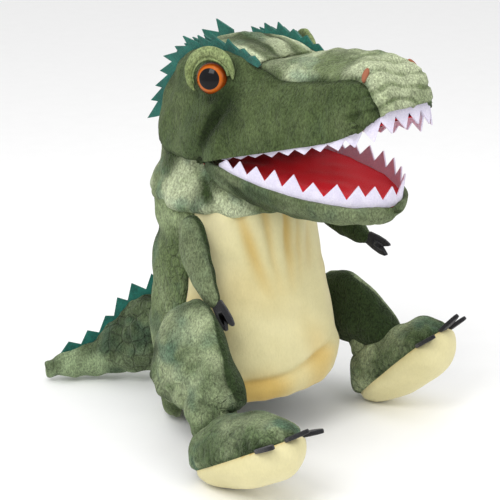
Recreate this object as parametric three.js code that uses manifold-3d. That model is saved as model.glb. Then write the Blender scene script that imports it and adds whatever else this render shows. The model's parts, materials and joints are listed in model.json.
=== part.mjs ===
// A dinosaur hand puppet with a moving mouth: a plush sleeve for the forearm, a hollow head for four fingers and
// a lower jaw for the thumb. Millimetres, +Z up. The puppet faces -Y, and its right side is -X.
import * as THREE from "three";
import { mergeVertices } from "three/addons/utils/BufferGeometryUtils.js";
import Module from "manifold-3d";

const wasm = await Module();
wasm.setup();

// ---- Cloth, board and clearance ----
const PLUSH = 3; // pile and backing, one layer
const FELT = 1.6;
const CLOTH = 1.2; // lining cloth
const BOARD = 2; // stiff card behind the mouth
const GAP = 0.4; // between sewn pieces that meet

// ---- Driving dimensions ----
const TORSO = { width: 120, depth: 118, height: 137, leanBack: 12, y: 6 };
const HEM = { band: 7, frontRise: 31, flatTo: 42, slope: 42 };
const NECK = { panel: 8.5, gusset: 22, crownY: 19 };
const MOUTH = { hingeY: 2, aboveNeck: 13, palateRecess: 5, jawRecess: 1.5 };
const SNOUT = { length: 131, width: 88, height: 53.5, pitch: 15, lipRise: 12, seamUp: 32, noseShare: 0.89 };
const FACE = { turn: 40, lift: 2 };
const CROWN = { width: 92, depth: 98, height: 86, forward: 16, band: 56 };
const JAW = { length: 115, width: 96, depth: 22, pitch: 8 };
const TEETH = { upper: 9, lower: 10, pitch: 11, inset: 1.6, front: 12 };
const EYE = {
  diameter: 19.5,
  dome: 7,
  stem: 5,
  stemLength: 13,
  x: 41.5,
  along: 18,
  up: 48.5,
  turn: 66,
  washer: 15,
};
const WASHER = { thickness: 2, behind: 2.4 };
const LID = { radius: 14.5, thickness: 4.6, corner: 0.8, lift: 1.5 };
const BROW = { length: 64, width: 21, height: 22, x: 28, along: 14, up: 61, slope: 3 };
const CREST = { height: 8, pitch: 9, sink: 2, tailHeight: 10, tailPitch: 13 };
const NOSTRIL = { width: 4, height: 8, x: 25, along: 119, up: 33 };
const ARM = {
  length: 51,
  width: 24,
  thickness: 15,
  aboveTorso: 6,
  claw: 13,
  swing: { right: 21, left: 53 },
  ahead: 20,
};
const LEG = { thickness: 34, depth: 80, y: -20, kneeZ: 37, lean: 12, height: { right: 67, left: 52 } };
const FOOT = {
  length: 90,
  sides: 20,
  width: 48,
  height: 49,
  splay: 4,
  soleTilt: 9,
  claw: 15,
  x: { right: 88, left: 79 },
  y: { right: -74, left: -60 },
  tilt: { right: 21, left: 36 },
  flexUp: 12,
};
const TAIL = { rootWidth: 42, rootHeight: 62, tipRadius: 6.5, reach: 84, turn: 44, rootZ: 37 };
const POCKET = { finger: 74, fingerHeight: 22, thumb: 60, thumbHeight: 12, ease: 5, square: 3.2, sides: 12 };

// ---- Faceting ----
const SIDES = 24;
const ROUND = 16;

const rad = THREE.MathUtils.degToRad;
const v3 = (x, y, z) => new THREE.Vector3(x, y, z);
const plush = (name, colour, roughness = 0.95) => {
  const made = new THREE.MeshStandardMaterial({ color: colour, roughness, metalness: 0 });
  made.name = name;
  return made;
};
const MATERIAL = {
  green: plush("plush_green", 0x4f6b3c),
  scaled: plush("plush_scaled", 0x86a078),
  cream: plush("plush_cream", 0xe6dba6),
  teal: plush("felt_teal", 0x1f6e62),
  white: plush("felt_white", 0xe9e6f2),
  black: plush("felt_black", 0x1d1d20),
  red: plush("mouth_cloth", 0xc0141c, 0.8),
  lime: plush("lid_plush", 0x9db566),
  lining: plush("lining_cloth", 0x7f8b74),
  card: plush("mouth_card", 0xb9a58a, 0.9),
  fill: plush("fibre_fill", 0xf2f0ea),
  thread: plush("nostril_thread", 0x7c3b26, 0.8),
  eye: plush("eye_plastic", 0xa4501a, 0.1),
  washer: plush("washer_plastic", 0xe8e8e4, 0.5),
};

const root = new THREE.Group();

// ---- Shape tools ----

// A value read from evenly or unevenly spaced [position, value] pairs, with straight lines between them.
function read(pairs, at) {
  if (at <= pairs[0][0]) return pairs[0][1];
  for (let i = 1; i < pairs.length; i++) {
    const [a, va] = pairs[i - 1];
    const [b, vb] = pairs[i];
    if (at <= b) return va + ((vb - va) * (at - a)) / (b - a);
  }
  return pairs.at(-1)[1];
}

// A ring of points round centre, in the plane of across and up; power 2 is an ellipse, and more is squarer.
function ring(centre, across, up, power = 2, count = SIDES) {
  const square = (v) => Math.sign(v) * Math.abs(v) ** (2 / power);
  return Array.from({ length: count }, (_, i) => {
    const angle = (2 * Math.PI * i) / count;
    return centre
      .clone()
      .addScaledVector(across, square(Math.cos(angle)))
      .addScaledVector(up, square(Math.sin(angle)));
  });
}

// A closed solid through rings of equal count, capped by a fan at each end and turned to face outwards.
function loft(rings) {
  const count = rings[0].length;
  const points = rings.flat();
  const faces = [];
  for (let r = 0; r + 1 < rings.length; r++)
    for (let i = 0; i < count; i++) {
      const j = (i + 1) % count;
      const [a, b] = [r * count + i, r * count + j];
      const [c, d] = [a + count, b + count];
      faces.push([a, b, d], [a, d, c]);
    }
  for (const [first, turn] of [[0, false], [(rings.length - 1) * count, true]]) {
    const middle = v3(0, 0, 0);
    for (let i = 0; i < count; i++) middle.add(points[first + i]);
    const hub = points.push(middle.divideScalar(count)) - 1;
    for (let i = 0; i < count; i++) {
      const [a, b] = [first + i, first + ((i + 1) % count)];
      faces.push(turn ? [hub, a, b] : [hub, b, a]);
    }
  }
  let volume = 0;
  for (const [a, b, c] of faces) volume += points[a].dot(points[b].clone().cross(points[c]));
  const order = volume > 0 ? faces.flat() : faces.map(([a, b, c]) => [a, c, b]).flat();
  const geometry = new THREE.BufferGeometry().setFromPoints(points);
  geometry.setIndex(order);
  return solidOf(geometry);
}

// A three.js geometry as a manifold solid.
function solidOf(geometry) {
  const bare = geometry.clone();
  bare.deleteAttribute("normal");
  bare.deleteAttribute("uv");
  const merged = mergeVertices(bare, 1e-4);
  return new wasm.Manifold(
    new wasm.Mesh({
      numProp: 3,
      vertProperties: merged.attributes.position.array,
      triVerts: new Uint32Array(merged.index.array),
    }),
  );
}

// The largest separate body of a solid, which drops the crumbs that a cut leaves.
function largest(solid) {
  return solid.decompose().reduce((best, s) => (s.volume() > best.volume() ? s : best));
}

// A manifold solid as a named mesh in the group.
function piece(name, solid, material) {
  const got = largest(solid).getMesh();
  const positions = new Float32Array(got.numVert * 3);
  for (let i = 0; i < got.numVert; i++)
    positions.set(got.vertProperties.subarray(i * got.numProp, i * got.numProp + 3), i * 3);
  const geometry = new THREE.BufferGeometry();
  geometry.setAttribute("position", new THREE.BufferAttribute(positions, 3));
  geometry.setIndex(new THREE.BufferAttribute(new Uint32Array(got.triVerts), 1));
  geometry.computeVertexNormals();
  const mesh = new THREE.Mesh(geometry, material);
  mesh.name = name;
  root.add(mesh);
  return mesh;
}

// A block between two corners, moved by a matrix.
function block(low, high, matrix = new THREE.Matrix4()) {
  const size = high.clone().sub(low);
  const geometry = new THREE.BoxGeometry(size.x, size.y, size.z);
  geometry.translate(...low.clone().add(high).multiplyScalar(0.5).toArray());
  return solidOf(geometry.applyMatrix4(matrix));
}

// An ellipsoid of the given half sizes, moved by a matrix.
function egg(halves, matrix, across = ROUND, down = 10) {
  const geometry = new THREE.SphereGeometry(1, across, down);
  geometry.scale(halves.x, halves.y, halves.z);
  return solidOf(geometry.applyMatrix4(matrix));
}

// A closed stuffed limb along a list of points, with half sizes across and along up at each point.
function limb(points, halves, up) {
  const curve = new THREE.CatmullRomCurve3(points);
  const rings = halves.map(([t, wide, high]) => {
    const centre = curve.getPointAt(t);
    const ahead = curve.getTangentAt(t);
    const across = ahead.clone().cross(up).normalize();
    const over = across.clone().cross(ahead).normalize();
    return ring(centre, across.multiplyScalar(wide), over.multiplyScalar(high), 2, ROUND);
  });
  return loft(rings);
}

// A felt strip with pointed teeth. The base runs along curve, tipAt gives each tooth's direction and length, and
// sideAt the direction of the felt's thickness.
function toothed(curve, from, to, pitch, tipAt, sideAt, band = 0.3) {
  const length = curve.getLength() * (to - from);
  const teeth = Math.max(1, Math.round(length / pitch));
  const rings = [];
  for (let i = 0; i <= 2 * teeth; i++) {
    const t = from + ((to - from) * i) / (2 * teeth);
    const base = curve.getPointAt(t);
    const tip = tipAt(t).multiplyScalar(i % 2 ? 1 : band);
    const side = sideAt(t).setLength(FELT / 2);
    const top = base.clone().add(tip);
    rings.push([
      base.clone().add(side),
      top.clone().add(side),
      top.clone().sub(side),
      base.clone().sub(side),
    ]);
  }
  return loft(rings);
}

// Half an outline from one lip over the arch to the other lip, with straight walls of length wall past the lips.
function arch(place, half, along, lip, crest, wall, power) {
  const square = (v) => Math.sign(v) * Math.abs(v) ** (2 / power);
  const steps = ROUND - 2;
  const over = Array.from({ length: steps + 1 }, (_, i) => {
    const angle = (Math.PI * i) / steps;
    return place(half * square(Math.cos(angle)), along, lip + (crest - lip) * square(Math.sin(angle)));
  });
  return [place(half, along, lip - wall), ...over, place(-half, along, lip - wall)];
}

// ---- Torso: a sleeve, open at the hem and at the neck ----

const TORSO_OUTLINE = [[0, 0.93], [0.22, 0.97], [0.42, 1], [0.6, 0.97], [0.82, 0.9], [1, 0.86]];
const torsoTop = TORSO.height;
const torsoY = (z) => TORSO.y + (TORSO.leanBack * z) / TORSO.height;
const torsoShare = (z) => read(TORSO_OUTLINE, z / TORSO.height);

// The sleeve's outer form made larger by grow, between two heights.
function torsoForm(grow, low = 0, high = torsoTop) {
  const between = TORSO_OUTLINE.map(([t]) => t * TORSO.height);
  const heights = [low, ...between.filter((z) => z > low + 0.5 && z < high - 0.5), high];
  return loft(
    heights.map((z) =>
      ring(
        v3(0, torsoY(z), z),
        v3((TORSO.width / 2) * torsoShare(z) + grow, 0, 0),
        v3(0, (TORSO.depth / 2) * torsoShare(z) + grow, 0),
        2.15,
      ),
    ),
  );
}
const FAR = 400;
const BEHIND = 60;
const sideSeamY = TORSO.y + 2;
const frontHalf = block(v3(-FAR, -FAR, -FAR), v3(FAR, sideSeamY - GAP / 2, FAR));
const backHalf = block(v3(-FAR, sideSeamY + GAP / 2, -FAR), v3(FAR, FAR, FAR));

// The space below the hem, raised by lift: flat at the back, then rising to the higher front.
function belowHem(lift) {
  const run = HEM.frontRise / Math.tan(rad(HEM.slope));
  const side = [
    [FAR, lift],
    [HEM.flatTo, lift],
    [HEM.flatTo - run, lift + HEM.frontRise],
    [-FAR, lift + HEM.frontRise],
    [-FAR, -FAR],
    [FAR, -FAR],
  ];
  return loft([-FAR, FAR].map((x) => side.map(([y, z]) => v3(x, y, z))));
}

function makeTorso() {
  const aboveBand = belowHem(HEM.band + GAP);
  const sleeve = torsoForm(0).subtract(torsoForm(-PLUSH, -1, torsoTop + 1)).subtract(aboveBand);
  piece("belly_panel", sleeve.intersect(frontHalf), MATERIAL.cream);
  piece("back_panel", sleeve.intersect(backHalf), MATERIAL.scaled);
  const inner = torsoForm(-PLUSH - GAP - CLOTH, -1, torsoTop + 1);
  piece("sleeve_lining", torsoForm(-PLUSH - GAP).subtract(inner).subtract(aboveBand), MATERIAL.lining);
  const band = torsoForm(0).subtract(inner).intersect(belowHem(HEM.band)).subtract(belowHem(0));
  piece("hem_binding", band, MATERIAL.green);
  const low = TAIL.rootZ + TAIL.rootHeight / 2 + 10;
  const spine = new THREE.CatmullRomCurve3(
    [low, (low + torsoTop) / 2, torsoTop - 2].map((z) =>
      v3(0, torsoY(z) + (TORSO.depth / 2) * torsoShare(z) - CREST.sink, z),
    ),
  );
  const tipAt = () => v3(0, CREST.height + CREST.sink, 4);
  const crest = toothed(spine, 0, 1, CREST.pitch, tipAt, () => v3(1, 0, 0), 0.45);
  piece("back_crest", crest.subtract(torsoForm(GAP)), MATERIAL.teal);
}

// ---- Mouth frames: the palate and the jaw each have their own frame at the mouth's hinge ----

const neckPanelLow = torsoTop + GAP;
const neckPanelHigh = neckPanelLow + NECK.panel;
const gussetHigh = neckPanelHigh + GAP + NECK.gusset;
const crownLow = gussetHigh + GAP;
const hinge = v3(0, MOUTH.hingeY, crownLow + MOUTH.aboveNeck);

// Turns along, up and x in a jaw's frame into world space: along runs from the hinge to the tip.
function mouthFrame(pitch) {
  return new THREE.Matrix4().makeTranslation(...hinge.toArray()).multiply(
    new THREE.Matrix4().makeRotationX(rad(-pitch)),
  );
}
const upperFrame = mouthFrame(SNOUT.pitch);
const lowerFrame = mouthFrame(-JAW.pitch);
const upper = (x, along, up) => v3(x, -along, up).applyMatrix4(upperFrame);
const lower = (x, along, up) => v3(x, -along, up).applyMatrix4(lowerFrame);

// ---- Head ----

const SNOUT_WIDTH = [[0, 1], [0.29, 0.96], [0.57, 0.87], [0.79, 0.78], [0.93, 0.68], [0.985, 0.56], [1, 0.42]];
const SNOUT_TOP = [
  [0, 0.9],
  [0.29, 0.9],
  [0.54, 0.96],
  [0.67, 0.93],
  [0.79, 0.88],
  [0.93, 0.79],
  [0.985, 0.7],
  [1, 0.58],
];
const SNOUT_LIP = [[0, 0], [0.68, 0], [0.89, 0.4], [0.97, 0.8], [1, 1]];
const SNOUT_STATIONS = [-0.02, 0.15, 0.29, 0.43, 0.57, 0.68, 0.79, 0.89, 0.95, 0.985, 1];
const snoutHalf = (t) => (SNOUT.width / 2) * read(SNOUT_WIDTH, t);
const snoutTop = (t) => SNOUT.height * read(SNOUT_TOP, t);
const snoutLip = (t) => SNOUT.lipRise * read(SNOUT_LIP, t);

// The snout made larger by grow. Its flat underside lies drop below the lip.
function snoutForm(grow, drop = 0) {
  const end = SNOUT.length + grow;
  return loft(
    SNOUT_STATIONS.map((t) => {
      const along = Math.min(t * SNOUT.length, end - (1 - t) * 20);
      return arch(upper, snoutHalf(t) + grow, along, snoutLip(t), snoutTop(t) + grow, drop + 0.01, 2.7);
    }),
  );
}

const CROWN_OUTLINE = [
  [0, 0.98, 0.99, 0],
  [0.25, 1, 1, 0],
  [0.47, 0.97, 0.97, 0.1],
  [0.67, 0.88, 0.88, 0.35],
  [0.83, 0.7, 0.72, 0.65],
  [0.94, 0.45, 0.47, 0.9],
  [1, 0.14, 0.14, 1],
];

// The back of the head made larger by grow, from the neck to the crown.
function crownForm(grow, low = crownLow) {
  const rings = CROWN_OUTLINE.map(([t, wide, deep, ahead]) => {
    const z = t === 0 ? low : crownLow + CROWN.height * t + grow * (t > 0.9 ? 1 : 0);
    return ring(
      v3(0, NECK.crownY - CROWN.forward * ahead, z),
      v3((CROWN.width / 2) * wide + grow, 0, 0),
      v3(0, (CROWN.depth / 2) * deep + grow, 0),
      2.1,
    );
  });
  return loft(rings);
}

// The head's outer form made larger by grow, with the mouth's space cut away below the lip.
const mouthSpace = block(v3(-FAR, -FAR, -FAR), v3(FAR, 3, -GAP), upperFrame);
const headForm = (grow) => crownForm(grow).subtract(mouthSpace).add(snoutForm(grow));
const headHollow = crownForm(-PLUSH, crownLow - 5).add(snoutForm(-PLUSH, 8));

// A brow is a stuffed roll above the eye, on top of the seam between the face and the crown.
function browForm(side, grow) {
  const tilt = new THREE.Matrix4().makeRotationX(rad(BROW.slope));
  const place = upperFrame
    .clone()
    .multiply(new THREE.Matrix4().makeTranslation(side * BROW.x, -BROW.along, BROW.up))
    .multiply(tilt);
  return egg(v3(BROW.width / 2 + grow, BROW.length / 2 + grow, BROW.height / 2 + grow), place);
}

// The eye's own frame: +Z out of the dome, at the middle of its flat back.
function eyeFrame(side) {
  const turn = new THREE.Matrix4().makeRotationZ(rad(side * (EYE.turn - 90)));
  const face = new THREE.Matrix4().makeRotationY(rad(side * 90));
  return upperFrame
    .clone()
    .multiply(new THREE.Matrix4().makeTranslation(side * EYE.x, -EYE.along, EYE.up))
    .multiply(turn)
    .multiply(face);
}

// The dome and its stem, made larger by grow.
function eyeForm(side, grow, dome = EYE.dome) {
  const radius = EYE.diameter / 2 + grow;
  const profile = [new THREE.Vector2(0, -EYE.stemLength - grow)];
  profile.push(new THREE.Vector2(EYE.stem / 2 + grow, -EYE.stemLength - grow));
  profile.push(new THREE.Vector2(EYE.stem / 2 + grow, -grow), new THREE.Vector2(radius, -grow));
  for (let i = 0; i <= 5; i++) {
    const angle = (i * Math.PI) / 10;
    const height = (dome + grow) * Math.sin(angle);
    profile.push(new THREE.Vector2(i === 5 ? 0 : radius * Math.cos(angle), height));
  }
  const geometry = new THREE.LatheGeometry(profile, ROUND);
  geometry.rotateX(Math.PI / 2);
  return solidOf(geometry.applyMatrix4(eyeFrame(side)));
}

function makeEye(side, word) {
  const frame = eyeFrame(side);
  piece(`eye_${word}`, eyeForm(side, 0), MATERIAL.eye);
  const disc = new THREE.CylinderGeometry(EYE.washer / 2, EYE.washer / 2, WASHER.thickness, ROUND);
  disc.rotateX(Math.PI / 2).translate(0, 0, -PLUSH - WASHER.behind - WASHER.thickness / 2).applyMatrix4(frame);
  const washer = solidOf(disc).subtract(eyeForm(side, 0.1));
  piece(`eye_washer_${word}`, washer.subtract(crownWall(GAP)).subtract(browForm(side, GAP)), MATERIAL.washer);
  const arc = Array.from({ length: 9 }, (_, i) => {
    const angle = rad(-12 + 25 * i);
    const reach = LID.radius;
    return v3(-reach * Math.sin(angle), -side * reach * Math.cos(angle), LID.lift).applyMatrix4(frame);
  });
  const out = v3(0, 0, 1).transformDirection(frame);
  const half = LID.thickness / 2;
  const full = [0.1, 0.3, 0.5, 0.7, 0.9].map((t) => [t, half, half]);
  const lid = limb(arc, [[0, LID.corner, LID.corner], ...full, [1, LID.corner, LID.corner]], out);
  const clear = lid.subtract(headForm(GAP)).subtract(browForm(side, GAP)).subtract(eyeForm(side, GAP));
  piece(`eyelid_${word}`, clear, MATERIAL.lime);
}

// The wall of the head, made thicker by grow on its inside.
function crownWall(grow) {
  return headForm(0).subtract(crownForm(-PLUSH - grow, crownLow - 5).add(snoutForm(-PLUSH - grow, 8)));
}

function makeHead() {
  const wall = headForm(0).subtract(headHollow);
  const faceLine = new THREE.Matrix4()
    .copy(upperFrame)
    .multiply(new THREE.Matrix4().makeTranslation(0, 0, FACE.lift))
    .multiply(new THREE.Matrix4().makeRotationX(rad(-FACE.turn)));
  const ahead = (shift) => block(v3(-FAR, -FAR, -FAR), v3(FAR, FAR, -shift), faceLine);
  const noseStart = SNOUT.length * SNOUT.noseShare;
  const low = block(v3(-FAR, -noseStart, -FAR), v3(FAR, BEHIND, SNOUT.seamUp), upperFrame);
  const high = block(v3(-FAR, -FAR, SNOUT.seamUp + GAP), v3(FAR, BEHIND, FAR), upperFrame);
  const nose = block(v3(-FAR, -FAR, -FAR), v3(FAR, -noseStart - GAP, SNOUT.seamUp + 2 * GAP), upperFrame);
  const half = CROWN.band / 2;
  const middle = block(v3(-half + GAP, -FAR, -FAR), v3(half - GAP, FAR, FAR));
  const rightSide = block(v3(-FAR, -FAR, -FAR), v3(-half, FAR, FAR));
  const leftSide = block(v3(half, -FAR, -FAR), v3(FAR, FAR, FAR));
  const browLine = BROW.along + BROW.length / 2 - 4;
  const overBrow = block(v3(-FAR, -FAR, SNOUT.seamUp), v3(FAR, -browLine, FAR), upperFrame);
  const behindBrow = block(v3(-FAR, -browLine + GAP, -FAR), v3(FAR, FAR, FAR), upperFrame);
  const sockets = eyeForm(-1, GAP).add(eyeForm(1, GAP));
  const snoutSides = wall.intersect(low).intersect(ahead(0));
  const right = block(v3(-FAR, -FAR, -FAR), v3(-1, FAR, FAR));
  const left = block(v3(1, -FAR, -FAR), v3(FAR, FAR, FAR));
  piece("snout_side_right", snoutSides.intersect(right), MATERIAL.green);
  piece("snout_side_left", snoutSides.intersect(left), MATERIAL.green);
  const top = wall.intersect(high).intersect(overBrow).add(wall.intersect(nose));
  piece("snout_top", top.subtract(sockets), MATERIAL.scaled);
  const back = wall.subtract(ahead(-GAP).intersect(low)).intersect(behindBrow).subtract(sockets);
  piece("crown_panel", back.intersect(middle), MATERIAL.scaled);
  piece("face_right", back.intersect(rightSide), MATERIAL.green);
  piece("face_left", back.intersect(leftSide), MATERIAL.green);
  for (const [side, word] of [[-1, "right"], [1, "left"]]) {
    makeEye(side, word);
    const brow = browForm(side, 0).subtract(headForm(GAP)).subtract(eyeForm(side, GAP));
    piece(`brow_${word}`, brow, MATERIAL.green);
    makeBrowCrest(side, word);
    makeNostril(side, word);
  }
  makeHeadCrest();
}

// The felt crest over a brow, from in front of the eye to the back of the head.
function makeBrowCrest(side, word) {
  const along = [[49, 50], [36, 62], [17, 70], [-2, 73], [-16, 67.5], [-27, 60], [-38, 50], [-48, 36]];
  const spine = new THREE.CatmullRomCurve3(along.map(([a, u]) => upper(side * (BROW.x + 3), a, u - CREST.sink)));
  const middle = upper(side * BROW.x, 0, 20);
  const tipAt = (t) => spine.getPointAt(t).sub(middle).setX(0).setLength(CREST.height + CREST.sink);
  const strip = toothed(spine, 0, 1, CREST.pitch, tipAt, () => v3(1, 0, 0), 0.45);
  const clear = strip.subtract(headForm(GAP)).subtract(browForm(side, GAP));
  piece(`brow_crest_${word}`, clear, MATERIAL.teal);
}

// The felt crest on the middle of the head, from between the brows to the neck.
function makeHeadCrest() {
  const middle = v3(0, NECK.crownY - CROWN.forward / 2, crownLow + CROWN.height / 3);
  const spots = [10, 35, 60, 85, 108].map((angle) => {
    const ahead = v3(0, Math.sin(rad(angle)), Math.cos(rad(angle)));
    return middle.clone().addScaledVector(ahead, read([[10, 58], [60, 51], [108, 53]], angle));
  });
  const spine = new THREE.CatmullRomCurve3(spots);
  const tipAt = (t) => spine.getPointAt(t).sub(middle).setLength(CREST.height + CREST.sink).add(v3(0, 3, 0));
  const strip = toothed(spine, 0, 1, CREST.pitch * 1.3, tipAt, () => v3(1, 0, 0));
  piece("head_crest", strip.subtract(headForm(GAP)), MATERIAL.teal);
}

// The space under the snout's lip, raised by lift.
function underLip(lift) {
  return loft(
    [...SNOUT_STATIONS, 1.1].map((t) => {
      const top = snoutLip(t) + lift;
      const along = t * SNOUT.length;
      return [upper(-FAR, along, -FAR), upper(FAR, along, -FAR), upper(FAR, along, top), upper(-FAR, along, top)];
    }),
  );
}

// An embroidered nostril, a thin oval pad on the snout's surface.
function makeNostril(side, word) {
  const place = upperFrame
    .clone()
    .multiply(new THREE.Matrix4().makeTranslation(side * NOSTRIL.x, -NOSTRIL.along, NOSTRIL.up));
  const spot = egg(v3(8, NOSTRIL.width / 2, NOSTRIL.height / 2), place, 10, 6);
  const skin = snoutForm(GAP + 1).subtract(snoutForm(GAP));
  piece(`nostril_${word}`, spot.intersect(skin), MATERIAL.thread);
}

// ---- Mouth: a board and a red cloth in each jaw, and felt teeth along each lip ----

// A flat plate with the outline of a jaw, inset from it, between two heights in a jaw's frame.
function plate(frameOf, halfAt, length, inset, low, high, start = 6) {
  const stations = [0, 0.2, 0.4, 0.6, 0.75, 0.86, 0.94, 1];
  const rings = stations.map((t) => {
    const along = start + t * (length - inset - start);
    const half = Math.max(halfAt(Math.min(1, along / length)) - inset, 3);
    return [
      frameOf(-half, along, low),
      frameOf(half, along, low),
      frameOf(half, along, high),
      frameOf(-half, along, high),
    ];
  });
  return loft(rings);
}

// The line of a lip in plan, from the right corner round the tip to the left corner, at a height above the lip.
function lipLine(frameOf, halfAt, length, inset, heightAt) {
  const shares = [0.1, 0.25, 0.4, 0.55, 0.7, 0.82, 0.91, 0.97];
  const right = shares.map((t) => frameOf(-halfAt(t) + inset, t * length - inset * t, heightAt(t)));
  const left = shares.map((t) => frameOf(halfAt(t) - inset, t * length - inset * t, heightAt(t))).reverse();
  return new THREE.CatmullRomCurve3([...right, frameOf(0, length - inset, heightAt(1)), ...left]);
}

const sidewaysOf = (curve, up) => (t) => curve.getTangentAt(t).cross(up);

function makeUpperMouth() {
  const base = MOUTH.palateRecess;
  const inset = PLUSH + GAP + 0.4;
  const part = 0.84;
  const halfAt = (t) => snoutHalf(t * part);
  const shape = (low, high) => plate(upper, halfAt, SNOUT.length * part, inset, low, high);
  piece("palate_lining", shape(base, base + CLOTH), MATERIAL.red);
  piece("palate_board", shape(base + CLOTH + GAP, base + CLOTH + GAP + BOARD), MATERIAL.card);
  const line = lipLine(upper, snoutHalf, SNOUT.length, TEETH.inset, (t) => snoutLip(t) - GAP);
  const down = v3(0, 0, -1).transformDirection(upperFrame);
  const grown = (t) => read([[0, 0.5], [0.3, 1], [0.7, 1], [1, 0.5]], t);
  const tipAt = (long) => (t) => down.clone().multiplyScalar(long * grown(t));
  const side = sidewaysOf(line, down);
  const strips = [
    ["right", 0, 0.36, TEETH.upper],
    ["front", 0.375, 0.625, TEETH.front],
    ["left", 0.64, 1, TEETH.upper],
  ];
  for (const [word, from, to, long] of strips) {
    const strip = toothed(line, from, to, TEETH.pitch, tipAt(long), side, 0.4);
    piece(`upper_teeth_${word}`, strip.subtract(snoutForm(GAP)), MATERIAL.white);
  }
  makeFingerPocket(base + CLOTH + BOARD + 2 * GAP);
}

// The pocket that the four fingers go into, on top of the palate board, and the filling in the nose ahead of it.
function makeFingerPocket(floor) {
  const tube = (grow, back) =>
    loft(
      [0, 0.5, 1].map((t) => {
        const along = (back ? -20 : 0) + t * (POCKET.finger + (back ? 20 - CLOTH : 0));
        const wide = snoutHalf(along / SNOUT.length) - PLUSH - POCKET.ease - GAP + grow;
        const middle = floor + POCKET.fingerHeight / 2;
        const over = v3(0, 0, 1).transformDirection(upperFrame);
        over.multiplyScalar(POCKET.fingerHeight / 2 + grow);
        return ring(upper(0, along, middle), v3(wide, 0, 0), over, POCKET.square, POCKET.sides);
      }),
    );
  piece("finger_pocket", tube(0, false).subtract(tube(-CLOTH, true)), MATERIAL.lining);
  const from = POCKET.finger + 2;
  const region = block(v3(-FAR, -FAR, floor), v3(FAR, -from, FAR), upperFrame);
  const filling = snoutForm(-PLUSH - GAP, 8).intersect(region).subtract(underLip(PLUSH));
  piece("snout_filling", filling, MATERIAL.fill);
}

const JAW_WIDTH = [
  [0, 0.88],
  [0.15, 0.96],
  [0.35, 1],
  [0.52, 0.97],
  [0.7, 0.86],
  [0.86, 0.63],
  [0.95, 0.4],
  [1, 0.16],
];
const JAW_DEPTH = [[0, 1], [0.3, 1], [0.55, 0.83], [0.75, 0.57], [0.93, 0.43], [1, 0.28]];
const jawHalf = (t) => (JAW.width / 2) * read(JAW_WIDTH, t);
const jawDeep = (t) => JAW.depth * read(JAW_DEPTH, t);

// The jaw made larger by grow, a half round below the lip. Its walls reach rise above the lip.
function jawForm(grow, rise = 0, back = 0) {
  const end = JAW.length + grow;
  return loft(
    [0, 0.15, 0.3, 0.45, 0.6, 0.75, 0.87, 0.95, 1].map((t) => {
      const along = t === 0 ? -back : Math.min(t * JAW.length, end - (1 - t) * 20);
      return arch(lower, jawHalf(t) + grow, along, 0, -jawDeep(t) - grow, -rise - 0.01, 2.5);
    }),
  );
}

function makeJaw() {
  const behindHinge = block(v3(-FAR, -4, -FAR), v3(FAR, FAR, FAR), lowerFrame);
  piece("jaw_skin", jawForm(0).subtract(jawForm(-PLUSH, 6, 6)).subtract(behindHinge), MATERIAL.green);
  const inside = jawForm(-PLUSH - GAP, 6, 6);
  const shape = (top, deep) => plate(lower, jawHalf, JAW.length, PLUSH, top - deep, top).intersect(inside);
  piece("jaw_lining", shape(-MOUTH.jawRecess, CLOTH), MATERIAL.red);
  const boardTop = -MOUTH.jawRecess - CLOTH - GAP;
  piece("jaw_board", shape(boardTop, BOARD), MATERIAL.card);
  const line = lipLine(lower, jawHalf, JAW.length, TEETH.inset, () => GAP);
  const rise = v3(0, 0, 1).transformDirection(lowerFrame);
  const grown = (t) => read([[0, 0.2], [0.1, 0.55], [0.25, 1], [0.75, 1], [0.9, 0.55], [1, 0.2]], t);
  const tipAt = (t) => rise.clone().multiplyScalar(TEETH.lower * grown(t));
  const side = sidewaysOf(line, rise);
  for (const [word, from, to] of [["right", 0, 0.415], ["left", 0.425, 1]])
    piece(`lower_teeth_${word}`, toothed(line, from, to, TEETH.pitch, tipAt, side, 0.42), MATERIAL.white);
  const under = boardTop - BOARD - GAP;
  const tube = (grow, back) =>
    loft(
      [0, 0.5, 1].map((t) => {
        const along = 6 + (back ? -20 : 0) + t * (POCKET.thumb - 6 + (back ? 20 - CLOTH : 0));
        const share = Math.max(0, along / JAW.length);
        const wide = jawHalf(share) - PLUSH - 4 * POCKET.ease + grow;
        const tall = Math.min(POCKET.thumbHeight, jawDeep(share) + under - PLUSH - 1);
        const up = v3(0, 0, 1).transformDirection(lowerFrame).multiplyScalar(tall / 2 + grow);
        const middle = under - tall / 2;
        return ring(lower(0, along, middle), v3(wide, 0, 0), up, 2.6, ROUND);
      }),
    );
  piece("thumb_pocket", tube(0, false).subtract(tube(-CLOTH, true)), MATERIAL.lining);
  const from = POCKET.thumb + 2;
  const region = block(v3(-FAR, -FAR, -FAR), v3(FAR, -from, under), lowerFrame);
  piece("chin_filling", inside.intersect(region), MATERIAL.fill);
}

// ---- Neck: a panel that turns with the head, and a gusset that folds as the head nods ----

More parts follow.
